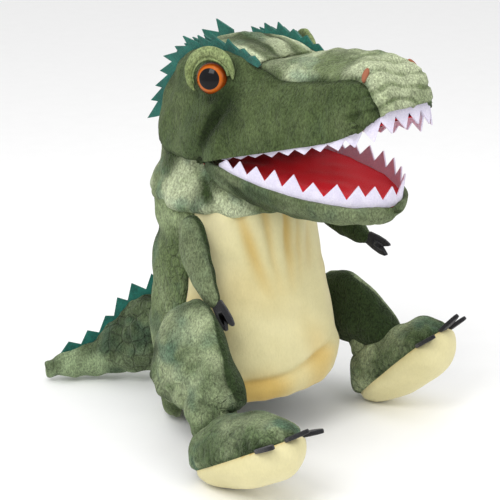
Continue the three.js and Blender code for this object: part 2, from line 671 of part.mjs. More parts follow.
function makeNeck() {
  const shell = (low, high) => {
    const form = (grow, extra) =>
      loft(
        [low - extra, high + extra].map((z) => {
          const t = THREE.MathUtils.clamp((z - neckPanelLow) / (crownLow - neckPanelLow), 0, 1);
          const share = torsoShare(torsoTop) / 2;
          const wide = THREE.MathUtils.lerp(TORSO.width * share, CROWN.width * 0.49, t);
          const deep = THREE.MathUtils.lerp(TORSO.depth * share, CROWN.depth * 0.495, t);
          const y = THREE.MathUtils.lerp(torsoY(torsoTop), NECK.crownY, t);
          return ring(v3(0, y, z), v3(wide + grow, 0, 0), v3(0, deep + grow, 0), 2.1);
        }),
      );
    return form(0, 0).subtract(form(-PLUSH, 1));
  };
  const jawSpace = block(v3(-FAR, -FAR, -JAW.depth - 3), v3(FAR, 12, FAR), lowerFrame);
  const sweep = block(v3(-FAR, -FAR, -JAW.depth - 3), v3(FAR, 10, FAR), mouthFrame(-JAW.pitch - 13));
  piece("neck_panel", shell(neckPanelLow, neckPanelHigh).subtract(sweep), MATERIAL.scaled);
  piece("neck_gusset", shell(neckPanelHigh + GAP, gussetHigh).subtract(jawSpace), MATERIAL.scaled);
}

// ---- Arms, legs and tail ----

const shoulderZ = TORSO.height + ARM.aboveTorso;
const armX = (TORSO.width / 2) * torsoShare(shoulderZ) + ARM.thickness / 2 + 2;
const armPivot = (side) => v3(side * armX, torsoY(shoulderZ) - ARM.ahead, shoulderZ);

// Along the arm from the shoulder: shares of the half width and half thickness.
const ARM_OUTLINE = [
  [0, 0.25, 0.3],
  [0.05, 0.62, 0.65],
  [0.2, 0.92, 0.95],
  [0.45, 1, 1],
  [0.7, 0.78, 0.85],
  [0.9, 0.55, 0.65],
  [0.97, 0.42, 0.5],
  [1, 0.2, 0.2],
];

// The cut line of the hand's felt, with a notch between its two claws: share of the length, and distance across.
const HAND_OUTLINE = [
  [0, -4.5],
  [0.45, -5.5],
  [1, -4],
  [0.75, -1.5],
  [0.62, 0],
  [0.75, 1.5],
  [1, 4],
  [0.45, 5.5],
  [0, 4.5],
];

function makeArm(side, word) {
  const swing = ARM.swing[word];
  const shoulder = armPivot(side);
  const turn = new THREE.Matrix4()
    .makeTranslation(...shoulder.toArray())
    .multiply(new THREE.Matrix4().makeRotationX(rad(-swing)));
  const at = (x, y, z) => v3(side * x, y, z).applyMatrix4(turn);
  const elbow = at(0, -1, -ARM.length * 0.7);
  const bend = [at(0, 0, 7), at(0, 1, -ARM.length * 0.35), elbow, at(0, -6, -ARM.length)];
  const [w, h] = [ARM.width / 2, ARM.thickness / 2];
  const outward = v3(1, 0, 0);
  const arm = limb(bend, ARM_OUTLINE.map(([t, a, b]) => [t, w * a, h * b]), outward);
  piece(`arm_${word}`, arm, MATERIAL.green);
  const tip = at(0, -6, -ARM.length - 1.2);
  const ahead = tip.clone().sub(at(0, -2, -ARM.length * 0.7)).normalize();
  const spread = outward.clone().cross(ahead).normalize();
  const put = (a, s, x) =>
    tip.clone().addScaledVector(ahead, a * ARM.claw).addScaledVector(spread, s).addScaledVector(outward, x);
  const claws = loft([-FELT / 2, FELT / 2].map((x) => HAND_OUTLINE.map(([a, s]) => put(a, s, x))));
  piece(`hand_claws_${word}`, claws, MATERIAL.black);
}

// Along the height: shares of the half thickness and half depth, and how far the middle lies ahead of LEG.y.
const THIGH_OUTLINE = [
  [0, 0.35, 0.35, 8],
  [0.07, 0.75, 0.85, -1],
  [0.17, 0.97, 1.05, -4],
  [0.32, 1, 1, -3],
  [0.52, 0.95, 0.86, 1],
  [0.72, 0.75, 0.66, 3],
  [0.9, 0.48, 0.42, 3],
  [1, 0.2, 0.16, 3],
];
const legX = TORSO.width / 2 + LEG.thickness / 2 + 1;
const legPivot = (side, word) => v3(side * (legX - LEG.lean / 4), LEG.y + 3, LEG.kneeZ + LEG.height[word] * 0.75);

// Along the foot from its middle: shares of the half width and half height.
const FOOT_OUTLINE = [
  [-0.5, 0.2, 0.2],
  [-0.46, 0.48, 0.5],
  [-0.36, 0.8, 0.82],
  [-0.2, 0.95, 0.97],
  [0, 1, 1],
  [0.2, 0.97, 0.94],
  [0.37, 0.82, 0.75],
  [0.46, 0.56, 0.48],
  [0.5, 0.25, 0.2],
];

// A foot's own frame at its middle, with along towards the toes, and its ankle.
function footFrame(side, word) {
  const tilt = rad(FOOT.tilt[word]);
  const sag = Math.hypot((FOOT.length / 2) * Math.sin(tilt), (FOOT.height / 2) * Math.cos(tilt));
  const turn = new THREE.Matrix4()
    .makeTranslation(side * FOOT.x[word], FOOT.y[word], sag)
    .multiply(new THREE.Matrix4().makeRotationZ(rad(side * FOOT.splay)))
    .multiply(new THREE.Matrix4().makeRotationX(-tilt));
  const at = (x, along, up) => v3(side * x, -along, up).applyMatrix4(turn);
  return { turn, at, ankle: at(0, FOOT.length * -0.24, 2) };
}

function makeLeg(side, word) {
  const thigh = loft(
    THIGH_OUTLINE.map(([t, wide, deep, y]) =>
      ring(
        v3(side * (legX - LEG.lean * Math.max(0, t - 0.5)), LEG.y + y, LEG.kneeZ + t * LEG.height[word]),
        v3((LEG.thickness / 2) * wide, 0, 0),
        v3(0, (LEG.depth / 2) * deep, 0),
        2.1,
        ROUND,
      ),
    ),
  );
  const { turn, at, ankle } = footFrame(side, word);
  const acrossDir = v3(1, 0, 0).transformDirection(turn);
  const upDir = v3(0, 0, 1).transformDirection(turn);
  const form = (grow) =>
    loft(
      FOOT_OUTLINE.map(([t, wide, high]) =>
        ring(
          at(0, t * FOOT.length, 0),
          acrossDir.clone().multiplyScalar((FOOT.width / 2) * wide + grow),
          upDir.clone().multiplyScalar((FOOT.height / 2) * high + grow),
          2,
          FOOT.sides,
        ),
      ),
    );
  const ballSize = FOOT.height / 2 + 1;
  let socket = egg(v3(ballSize, ballSize, ballSize), new THREE.Matrix4().makeTranslation(...ankle.toArray()));
  for (const share of [0, 0.5, 1]) {
    const flexed = new THREE.Matrix4()
      .makeTranslation(...ankle.toArray())
      .multiply(new THREE.Matrix4().makeRotationX(rad(-FOOT.flexUp * share)))
      .multiply(new THREE.Matrix4().makeTranslation(...ankle.clone().negate().toArray()));
    socket = socket.add(form(GAP + 0.8).transform(flexed.elements));
  }
  piece(`thigh_${word}`, thigh.subtract(socket), MATERIAL.scaled);
  const soleTurn = turn.clone().multiply(new THREE.Matrix4().makeRotationX(rad(-FOOT.soleTilt)));
  const seam = -2;
  const floor = block(v3(-FAR, -FAR, -FAR), v3(FAR, FAR, 0));
  const above = block(v3(-FAR, -FAR, seam + GAP), v3(FAR, FAR, FAR), soleTurn);
  const below = block(v3(-FAR, -FAR, -FAR), v3(FAR, FAR, seam), soleTurn);
  piece(`foot_${word}`, form(0).intersect(above).subtract(floor), MATERIAL.green);
  piece(`sole_${word}`, form(0).intersect(below).subtract(floor), MATERIAL.cream);
  const soleAt = (x, along, up) => v3(side * x, -along, up).applyMatrix4(soleTurn);
  [[-0.3, 0.4, -18], [0.0, 0.505, 0], [0.3, 0.4, 18]].forEach(([share, along, fan], i) => {
    const start = soleAt(share * FOOT.width, along * FOOT.length - 3, seam + GAP / 2);
    const ahead = v3(Math.sin(rad(fan)) * side, -Math.cos(rad(fan)), 0).transformDirection(soleTurn);
    const up = v3(0, 0, 1).transformDirection(soleTurn);
    const across = ahead.clone().cross(up);
    const outline = [[0, -3.5], [0.5, -3.5], [1, -1.2], [1, 1.2], [0.5, 3.5], [0, 3.5]];
    const put = (a, s, x) =>
      start.clone().addScaledVector(ahead, a * FOOT.claw).addScaledVector(across, s).addScaledVector(up, x);
    const claw = loft([-FELT / 2, FELT / 2].map((x) => outline.map(([a, s]) => put(a, s, x))));
    piece(`toe_claw_${word}_${i + 1}`, claw.subtract(form(GAP)), MATERIAL.black);
  });
}

// Along the tail: shares of the root's half width and half height.
const TAIL_OUTLINE = [
  [0, 0.2, 0.2],
  [0.03, 0.5, 0.5],
  [0.1, 0.85, 0.85],
  [0.2, 1, 1],
  [0.35, 0.92, 0.83],
  [0.55, 0.7, 0.55],
  [0.75, 0.5, 0.38],
  [0.92, 0.34, 0.25],
  [0.98, 0.24, 0.17],
  [1, 0.08, 0.06],
];

function tailPath() {
  const heading = v3(-Math.sin(rad(TAIL.turn)), Math.cos(rad(TAIL.turn)), 0);
  const z = TAIL.rootZ;
  const start = v3(0, torsoY(z) + (TORSO.depth / 2) * torsoShare(z) + TAIL.rootWidth / 2 + 2, z);
  const end = start.clone().addScaledVector(heading, TAIL.reach).setZ(TAIL.tipRadius + 1.5);
  const before = start.clone().addScaledVector(heading, -TAIL.rootWidth / 2);
  const middle = start.clone().lerp(end, 0.5).add(v3(4, 4, -6));
  return { start, heading, curve: new THREE.CatmullRomCurve3([before, start, middle, end]) };
}

function makeTail() {
  const { heading, curve } = tailPath();
  const [wide, high] = [TAIL.rootWidth / 2, TAIL.rootHeight / 2];
  const form = (grow) =>
    limb(curve.points, TAIL_OUTLINE.map(([t, a, b]) => [t, a * wide + grow, b * high + grow]), v3(0, 0, 1));
  const floor = block(v3(-FAR, -FAR, -FAR), v3(FAR, FAR, 0));
  piece("tail", form(0).subtract(floor), MATERIAL.scaled);
  const heights = TAIL_OUTLINE.map(([t, , b]) => [t, b * high - CREST.sink]);
  const ridge = [0.14, 0.25, 0.38, 0.52, 0.66, 0.8].map((t) => {
    const ahead = curve.getTangentAt(t);
    const over = v3(0, 0, 1).addScaledVector(ahead, -ahead.z).normalize();
    return curve.getPointAt(t).addScaledVector(over, read(heights, t));
  });
  const tipAt = () => v3(0, 0, CREST.tailHeight + CREST.sink).addScaledVector(heading, 4);
  const sideways = () => v3(0, 0, 1).cross(heading);
  const strip = toothed(new THREE.CatmullRomCurve3(ridge), 0, 1, CREST.tailPitch, tipAt, sideways);
  piece("tail_crest", strip.subtract(form(GAP)), MATERIAL.teal);
}

makeTorso();
makeNeck();
makeHead();
makeUpperMouth();
makeJaw();
makeArm(-1, "right");
makeArm(1, "left");
makeLeg(-1, "right");
makeLeg(1, "left");
makeTail();

// Where each moving piece turns, and the whole model's origin: the middle of its box, on the floor.
root.userData.pivots = {
  head_turn: v3(0, torsoY(torsoTop), torsoTop),
  head_nod: v3(0, NECK.crownY, neckPanelHigh + NECK.gusset / 2),
  jaw_open: hinge.clone(),
  arm_right: armPivot(-1),
  arm_left: armPivot(1),
  leg_right: legPivot(-1, "right"),
  leg_left: legPivot(1, "left"),
  foot_right: footFrame(-1, "right").ankle,
  foot_left: footFrame(1, "left").ankle,
  tail: tailPath().start.clone(),
};
const box = new THREE.Box3().setFromObject(root);
const shift = v3(-(box.min.x + box.max.x) / 2, -(box.min.y + box.max.y) / 2, -box.min.z);
root.position.copy(shift);
for (const pivot of Object.values(root.userData.pivots)) pivot.add(shift);

export default root;
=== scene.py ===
"""The looks of a plush dinosaur hand puppet with a moving mouth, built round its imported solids.

Lengths in the classes are millimetres in the sewing frame, whose middle plane is x = 0 and whose floor is z = 0.
The puppet faces -y and its right side is -x. Every mesh is moved to the model's own frame and to metres when made.
"""

import json
import logging
from dataclasses import dataclass, field
from enum import Enum
from typing import Callable, Sequence

import bmesh
import bpy
import numpy as np
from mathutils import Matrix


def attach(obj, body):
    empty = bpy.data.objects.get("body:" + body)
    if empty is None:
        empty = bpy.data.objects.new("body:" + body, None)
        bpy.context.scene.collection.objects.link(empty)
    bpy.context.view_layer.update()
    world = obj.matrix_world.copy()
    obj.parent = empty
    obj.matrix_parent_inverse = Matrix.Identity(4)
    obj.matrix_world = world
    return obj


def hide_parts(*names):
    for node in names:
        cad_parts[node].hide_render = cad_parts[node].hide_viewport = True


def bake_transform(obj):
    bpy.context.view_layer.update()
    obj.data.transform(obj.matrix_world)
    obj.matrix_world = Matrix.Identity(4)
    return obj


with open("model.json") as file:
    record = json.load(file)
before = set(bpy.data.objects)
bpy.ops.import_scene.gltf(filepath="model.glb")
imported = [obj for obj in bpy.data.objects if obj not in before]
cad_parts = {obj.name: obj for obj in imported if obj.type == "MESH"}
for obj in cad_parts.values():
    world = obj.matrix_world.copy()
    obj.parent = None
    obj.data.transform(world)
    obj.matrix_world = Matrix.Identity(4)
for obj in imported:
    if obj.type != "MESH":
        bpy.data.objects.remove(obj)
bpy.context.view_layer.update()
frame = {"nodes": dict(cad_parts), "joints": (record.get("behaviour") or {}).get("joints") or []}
LOG = logging.getLogger("puppet")

Array = np.ndarray
Piece = bpy.types.Object
Colour = tuple[float, float, float]
Table = Sequence[Sequence[float]]

UP = np.array([0, 0, 1.0])
SIDEWAYS = np.array([1.0, 0, 0])


class Side(Enum):
    """The puppet's two sides, each with the sign of its x."""

    RIGHT = -1
    LEFT = 1

    @property
    def word(self) -> str:
        """The side's name as the solids use it."""
        return self.name.lower()


# --- numbers


def curve(table: Table, at: Array | float, column: int = 1) -> Array:
    """Read a table as a smooth line that never overshoots its own values.

    Each span is a cubic whose end slopes are the harmonic means of the slopes on either side.

    Args:
        table: rows that start with a position.
        at: the positions to read.
        column: which column holds the value.

    Returns:
        The values, in the shape of at.
    """
    rows = np.array(table, float)
    xs, ys = rows[:, 0], rows[:, column]
    wide = np.diff(xs)
    rise = np.diff(ys) / wide
    slope = np.zeros_like(ys)
    same = rise[:-1] * rise[1:] > 0
    total = np.where(same, rise[:-1] + rise[1:], 1.0)
    slope[1:-1] = np.where(same, 2 * rise[:-1] * rise[1:] / total, 0.0)
    slope[0], slope[-1] = rise[0], rise[-1]
    at = np.clip(np.asarray(at, float), xs[0], xs[-1])
    i = np.clip(np.searchsorted(xs, at, side="right") - 1, 0, len(wide) - 1)
    t = (at - xs[i]) / wide[i]
    first = ys[i] * (1 + 2 * t) * (1 - t) ** 2 + slope[i] * wide[i] * t * (1 - t) ** 2
    return first + ys[i + 1] * t**2 * (3 - 2 * t) + slope[i + 1] * wide[i] * t**2 * (t - 1)


def power(values: Array, exponent: float) -> Array:
    """Raise the size of each value to a power and keep its sign."""
    return np.sign(values) * np.abs(values) ** exponent


def unit(vectors: Array) -> Array:
    """Scale each vector to length 1."""
    return vectors / np.maximum(np.linalg.norm(vectors, axis=-1, keepdims=True), 1e-9)


def smoothstep(values: Array, low: float, high: float) -> Array:
    """Rise smoothly from 0 at low to 1 at high."""
    t = np.clip((values - low) / (high - low), 0, 1)
    return t * t * (3 - 2 * t)


def bell(gap: Array, wide: float) -> Array:
    """Fall off on both sides of 0 as a bell, e to the minus square of the gap over the width."""
    return np.exp(-((gap / wide) ** 2))


def grid(down: Array, across: Array) -> tuple[Array, Array]:
    """Pair each value of one run with each value of another, as two arrays of rows by columns."""
    rows, columns = np.meshgrid(down, across, indexing="ij")
    return rows, columns


def shares(count: int) -> Array:
    """Even shares from 0 to 1, both ends among them."""
    return np.linspace(0, 1, count)


def circle(count: int) -> Array:
    """Even angles once round, in radians, that stop a step short of the first."""
    return np.linspace(0, 2 * np.pi, count, endpoint=False)


def lumps(points: Array, size: float, seed: int, count: int = 20) -> Array:
    """Sum sine waves of random directions and lengths, which gives soft lumps about 1 high.

    Args:
        points: where to read the lumps.
        size: about how far across they are.
        seed: which of the patterns to take.
        count: how many waves there are.

    Returns:
        The height at each point.
    """
    rng = np.random.default_rng(seed)
    heading = unit(rng.normal(size=(count, 3)))
    waves = 2 * np.pi / size * heading * rng.uniform(0.6, 1.5, (count, 1))
    phase = rng.uniform(0, 2 * np.pi, count)
    return np.sin(points @ waves.T + phase).sum(-1) / np.sqrt(count / 2)


def away_from(points: Array, line: Table) -> Array:
    """Measure how far each point is from a line of straight stretches."""
    nearest = np.full(points.shape[:-1], 1e9)
    corners = np.array(line, float)
    for start, end in zip(corners[:-1], corners[1:]):
        run = end - start
        share = np.clip(((points - start) @ run) / (run @ run), 0, 1)
        nearest = np.minimum(nearest, np.linalg.norm(points - start - share[..., None] * run, axis=-1))
    return nearest


def turn_x(degrees: float) -> Array:
    """The matrix of a turn about the x axis."""
    c, s = np.cos(np.radians(degrees)), np.sin(np.radians(degrees))
    return np.array([[1, 0, 0], [0, c, -s], [0, s, c]])


def turn_z(degrees: float) -> Array:
    """The matrix of a turn about the z axis."""
    c, s = np.cos(np.radians(degrees)), np.sin(np.radians(degrees))
    return np.array([[c, -s, 0], [s, c, 0], [0, 0, 1]])


class Path:
    """A smooth line through points, read by its share of length."""

    def __init__(self, points: Sequence[Sequence[float]]) -> None:
        """Sample a Catmull-Rom line: each cubic stretch leaves and enters its ends along their neighbours."""
        knots = np.array(points, float)
        ends = np.vstack([2 * knots[0] - knots[1], knots, 2 * knots[-1] - knots[-2]])
        u = np.linspace(0, len(knots) - 1, 500)
        i = np.minimum(u.astype(int), len(knots) - 2)
        f = (u - i)[:, None]
        a, b, c, d = (ends[i + k] for k in range(4))
        cubic = 2 * b + (c - a) * f + (2 * a - 5 * b + 4 * c - d) * f**2 + (3 * b - a - 3 * c + d) * f**3
        self.line = cubic / 2
        steps = np.linalg.norm(np.diff(self.line, axis=0), axis=1)
        self.length = float(steps.sum())
        self.share = np.concatenate([[0], np.cumsum(steps)]) / self.length

    def at(self, t: Array) -> Array:
        """The points at shares t of the length."""
        return np.stack([np.interp(t, self.share, self.line[:, k]) for k in range(3)], -1)

    def heading(self, t: Array) -> Array:
        """The line's directions at shares t of the length."""
        return unit(self.at(np.clip(t + 0.01, 0, 1)) - self.at(np.clip(t - 0.01, 0, 1)))


# --- meshes

HINGE = np.array([0.0, 2.0, 181.7])
# How thick the felt is, the thin cloth of the mouth and lids, and the lining.
FELT = 1.6
CLOTH = 0.8
LINING_CLOTH = 0.9
JOINTS = {joint["name"]: joint for joint in frame["joints"]}
SHIFT = np.array(JOINTS["jaw_open"]["pos_m"], float) * 1000 - HINGE


def to_frame(points: Array) -> Array:
    """Move points from the sewing frame to the model's frame, in metres."""
    return (points + SHIFT) / 1000


def point(*xyz: float) -> tuple[float, ...]:
    """One point of the sewing frame as metres in the model's frame."""
    return tuple(float(v) for v in to_frame(np.array(xyz)))


def grid_faces(rows: int, columns: int, wrap: bool) -> Array:
    """The squares between the neighbours of a grid; with wrap, its last column meets its first."""
    i, j = grid(np.arange(rows - 1), np.arange(columns if wrap else columns - 1))
    k = (j + 1) % columns
    return np.stack([i * columns + j, i * columns + k, (i + 1) * columns + k, (i + 1) * columns + j], -1).reshape(-1, 4)


def facing(points: Array, wrap: bool, middle: Array) -> Array:
    """The directions square to a grid, from the cross product of its two ways.

    Args:
        points: the grid.
        wrap: whether its last column meets its first.
        middle: the point that the directions look away from.

    Returns:
        The directions.
    """
    down = np.gradient(points, axis=0)
    if wrap:
        across = np.roll(points, -1, 1) - np.roll(points, 1, 1)
    else:
        across = np.gradient(points, axis=1)
    normal = np.cross(across, down)
    size = np.linalg.norm(normal, axis=-1, keepdims=True)
    whole = unit(normal.mean((0, 1), keepdims=True))
    normals = np.where(size > 1e-6, normal / np.maximum(size, 1e-9), whole)
    return normals if ((points - middle) * normals).sum() > 0 else -normals


def put(name: str, data: bpy.types.ID) -> Piece:
    """Put a mesh, lamp or camera into the scene as an object."""
    made = bpy.data.objects.new(name, data)
    bpy.context.scene.collection.objects.link(made)
    return made


def set_smooth(mesh: bpy.types.Mesh, smooth: bool = True) -> None:
    """Shade all of a mesh's faces smooth, or all of them flat."""
    mesh.polygons.foreach_set("use_smooth", np.full(len(mesh.polygons), smooth))


def make_object(name: str, points: Array, faces: list, tones: Array | None = None) -> Piece:
    """Make a mesh object from points in the sewing frame, with its doubles merged and its faces outwards.

    Args:
        name: the piece's name.
        points: the corners, one row each.
        faces: rows of corner numbers.
        tones: a number for each corner, below 0 for darker and above 0 for paler, which holds the fabric's own tone and
            painted light and shade.

    Returns:
        The new object, which stands at the origin.
    """
    mesh = bpy.data.meshes.new(name)
    mesh.from_pydata(to_frame(np.asarray(points, float)).tolist(), [], [list(f) for f in faces])
    if tones is not None:
        mesh.attributes.new("tone", "FLOAT", "POINT").data.foreach_set("value", np.asarray(tones, np.float32).ravel())
    work = bmesh.new()
    work.from_mesh(mesh)
    bmesh.ops.remove_doubles(work, verts=work.verts, dist=2e-6)
    bmesh.ops.dissolve_degenerate(work, edges=work.edges, dist=1e-6)
    bmesh.ops.recalc_face_normals(work, faces=work.faces)
    if work.calc_volume(signed=True) < 0:
        bmesh.ops.reverse_faces(work, faces=work.faces)
    work.to_mesh(mesh)
    work.free()
    set_smooth(mesh)
    return put(name, mesh)


def shell(
    name: str,
    points: Array,
    thick: float,
    middle: Array,
    wrap: bool = False,
    tones: Array | None = None,
) -> Piece:
    """Make a closed cloth panel: the grid is its face, a copy moved inwards its back, and strips close its rims.

    Args:
        name: the piece's name.
        points: rows by columns by 3.
        thick: the cloth's thickness.
        middle: a point that the face looks away from.
        wrap: whether the last column meets the first.
        tones: a number for each point of the grid.

    Returns:
        The new object.
    """
    rows, columns = points.shape[:2]
    normals = facing(points, wrap, middle)
    both = np.concatenate([points.reshape(-1, 3), (points - thick * normals).reshape(-1, 3)])
    face = grid_faces(rows, columns, wrap)
    count = rows * columns
    quads = [face, face[:, ::-1] + count]
    index = np.arange(count).reshape(rows, columns)
    rims = [index[0], index[-1]]
    if not wrap:
        rims += [index[:, 0], index[:, -1]]
    for rim in rims:
        after = np.roll(rim, -1) if wrap else rim[1:]
        before = rim if wrap else rim[:-1]
        quads.append(np.stack([before, after, after + count, before + count], -1))
    doubled = None if tones is None else np.concatenate([tones.ravel(), tones.ravel()])
    return make_object(name, both, np.concatenate(quads).tolist(), doubled)


def closed(name: str, rings: Array, tones: Array | None = None) -> Piece:
    """Make a closed form from rings, with a fan of triangles over each end.

    Args:
        name: the piece's name.
        rings: rows by columns by 3.
        tones: a number for each point of the rings.

    Returns:
        The new object.
    """
    rows, columns = rings.shape[:2]
    points = np.concatenate([rings.reshape(-1, 3), [rings[0].mean(0), rings[-1].mean(0)]])
    faces = grid_faces(rows, columns, True).tolist()
    count = rows * columns
    for first, hub in ((0, count), ((rows - 1) * columns, count + 1)):
        faces += [[first + j, first + (j + 1) % columns, hub] for j in range(columns)]
    tone = None if tones is None else np.concatenate([tones.ravel(), [tones[0].mean(), tones[-1].mean()]])
    return make_object(name, points, faces, tone)


def tuck_edges(
    points: Array,
    normals: Array,
    depth: float = 1.3,
    reach: float = 2.4,
    sides: str = "lr",
) -> tuple[Array, Array]:
    """Sink a panel's edges into a seam: the depth falls off as a bell of the distance along the cloth.

    Args:
        points: the panel's grid.
        normals: its outward directions.
        depth: how far the very edge sinks.
        reach: the distance over which it rises again.
        sides: l and r for the first and last column, t and b for the first and last row.

    Returns:
        The new grid, and how deep in a seam each point is, from 0 to 1.
    """
    sunk = np.zeros(points.shape[:2])
    for axis, first, last in ((1, "l", "r"), (0, "t", "b")):
        steps = np.linalg.norm(np.diff(points, axis=axis), axis=-1)
        pad = [(0, 0), (0, 0)]
        pad[axis] = (1, 0)
        run = np.pad(np.cumsum(steps, axis=axis), pad)
        whole = run.take([-1], axis=axis)
        if first in sides:
            sunk = np.maximum(sunk, bell(run, reach))
        if last in sides:
            sunk = np.maximum(sunk, bell(whole - run, reach))
    return points - depth * sunk[..., None] * normals, sunk


def paint(piece: Piece, finish: "Finish") -> None:
    """Give a piece a finish as its only material."""
    piece.data.materials.clear()
    piece.data.materials.append(finish.material())


def label(piece: Piece, nodes: Sequence[str]) -> Piece:
    """Hide the solids that a piece stands for, log its faces, and return the piece."""
    if nodes:
        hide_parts(*nodes)
    LOG.info("%s: %d faces", piece.name, len(piece.data.polygons))
    return piece


def dress(
    piece: Piece, body: str, finish: "Finish", nodes: Sequence[str] = ()
) -> Piece:
    """Dress a piece that moves with one body.

    Args:
        piece: the piece.
        body: the body that it rides on.
        finish: its finish.
        nodes: the solids that it stands for.

    Returns:
        The piece.
    """
    paint(piece, finish)
    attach(piece, body)
    return label(piece, nodes)


def dress_bending(
    piece: Piece,
    ends: tuple[tuple[float, ...], tuple[float, ...]],
    finish: "Finish",
    nodes: Sequence[str] = (),
) -> Piece:
    """Dress a piece that crosses a joint.

    Args:
        piece: the piece.
        ends: where it would stop following the first body and start to follow the second; not used.
        finish: its finish.
        nodes: the solids that it stands for.

    Returns:
        The piece.
    """
    paint(piece, finish)
    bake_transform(piece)
    return label(piece, nodes)


# --- shaders


class Flow:
    """A value, vector or colour in a shader, which Python's operators carry on with nodes."""

    def __init__(self, tree: bpy.types.NodeTree, socket: bpy.types.NodeSocket) -> None:
        """Wrap one output socket."""
        self.tree = tree
        self.socket = socket

    def _join(self, operation: str, first: "Operand", second: "Operand") -> "Flow":
        """Add a Math node, or a Vector Math node where either side is a vector or a colour."""
        sides = (first, second)
        vector = any(isinstance(x, tuple) or (isinstance(x, Flow) and x.socket.type != "VALUE") for x in sides)
        node = self.tree.nodes.new("ShaderNodeVectorMath" if vector else "ShaderNodeMath")
        node.operation = operation
        for target, side in zip(node.inputs, sides):
            if isinstance(side, Flow):
                self.tree.links.new(side.socket, target)
            else:
                target.default_value = (side,) * 3 if vector and not isinstance(side, tuple) else side
        return Flow(self.tree, node.outputs[0])

    def __add__(self, other: "Operand") -> "Flow":
        """Self plus other."""
        return self._join("ADD", self, other)

    def __radd__(self, other: "Operand") -> "Flow":
        """Other plus self."""
        return self._join("ADD", other, self)

    def __sub__(self, other: "Operand") -> "Flow":
        """Self minus other."""
        return self._join("SUBTRACT", self, other)

    def __rsub__(self, other: "Operand") -> "Flow":
        """Other minus self."""
        return self._join("SUBTRACT", other, self)

    def __mul__(self, other: "Operand") -> "Flow":
        """Self times other."""
        return self._join("MULTIPLY", self, other)

    def __rmul__(self, other: "Operand") -> "Flow":
        """Other times self."""
        return self._join("MULTIPLY", other, self)


Operand = Flow | float | tuple


class Graph:
    """A material's nodes, ending in one Principled shader."""

    def __init__(self, name: str, **constants: object) -> None:
        """Start a material.

        Args:
            name: the material's name.
            constants: values for the Principled shader's own sockets, with _ for a space.
        """
        self.material = bpy.data.materials.new(name)
        self.material.use_nodes = True
        self.tree = self.material.node_tree
        self.shader = next(n for n in self.tree.nodes if n.type == "BSDF_PRINCIPLED")
        for key, value in constants.items():
            self.shader.inputs[key.replace("_", " ")].default_value = value
        self.place = self.node("TexCoord", output="Object")

    def node(
        self,
        kind: str,
        settings: dict | None = None,
        values: dict | None = None,
        output: int | str = 0,
    ) -> Flow:
        """Add a node.

        Args:
            kind: the node's type, without ShaderNode.
            settings: its own settings, and "stops" for a ramp's (position, colour) pairs.
            values: what its sockets hold or link to, by name or number.
            output: which output to carry on from.

        Returns:
            That output.
        """
        made = self.tree.nodes.new("ShaderNode" + kind)
        for key, value in (settings or {}).items():
            if key == "stops":
                ramp = made.color_ramp
                for number, (position, colour) in enumerate(value):
                    stop = ramp.elements[number] if number < 2 else ramp.elements.new(position)
                    stop.position, stop.color = position, (*colour, 1)
            else:
                setattr(made, key, value)
        for key, value in (values or {}).items():
            if isinstance(value, Flow):
                self.tree.links.new(value.socket, made.inputs[key])
            else:
                made.inputs[key].default_value = value
        return Flow(self.tree, made.outputs[output])

    def noise(self, at: Flow, scale: float, detail: float = 2.0, rough: float = 0.5, output: str = "Fac") -> Flow:
        """Add noise of so many patches to the metre."""
        return self.node(
            "TexNoise", {}, {"Vector": at, "Scale": scale, "Detail": detail, "Roughness": rough}, output
        )

    def step(self, value: Flow, low: float, high: float) -> Flow:
        """Rise smoothly from 0 at low to 1 at high."""
        return self.node(
            "MapRange", {"interpolation_type": "SMOOTHSTEP"}, {"Value": value, "From Min": low, "From Max": high}
        )

    def mix(self, share: Operand, first: Operand, second: Operand) -> Flow:
        """Blend two colours."""
        values = {0: share, 6: self.solid(first), 7: self.solid(second)}
        return self.node("Mix", {"data_type": "RGBA"}, values, 2)

    @staticmethod
    def solid(colour: Operand) -> Operand:
        """Give a plain colour its alpha."""
        return (*colour, 1.0) if isinstance(colour, tuple) and len(colour) == 3 else colour

    def moved(self, at: Flow, scale: Colour, turn: Colour = (0, 0, 0)) -> Flow:
        """Stretch and turn a pattern's place."""
        return self.node("Mapping", {}, {"Vector": at, "Scale": scale, "Rotation": turn})

    def tone(self) -> Flow:
        """The piece's own number for how pale its fabric is, below 0 for darker; on most pieces it also holds painted
        light and shade.
        """
        return self.node("Attribute", {"attribute_name": "tone"}, {}, "Fac")

    def bump(self, height: Flow, distance: float, strength: float = 1.0) -> Flow:
        """Turn a height into a Normal."""
        return self.node("Bump", {}, {"Height": height, "Distance": distance, "Strength": strength})

    def feed(self, **links: Flow) -> bpy.types.Material:
        """Link flows to the shader's sockets, with _ for a space, and return the material."""
        for key, value in links.items():
            self.tree.links.new(value.socket, self.shader.inputs[key.replace("_", " ")])
        return self.material


@dataclass(frozen=True)
class Finish:
    """A finish that pieces take, made once and shared."""

    name: str

    def build(self) -> bpy.types.Material:
        """Make the material."""
        raise NotImplementedError

    def material(self) -> bpy.types.Material:
        """The material, made the first time it is asked for."""
        return bpy.data.materials.get(self.name) or self.build()


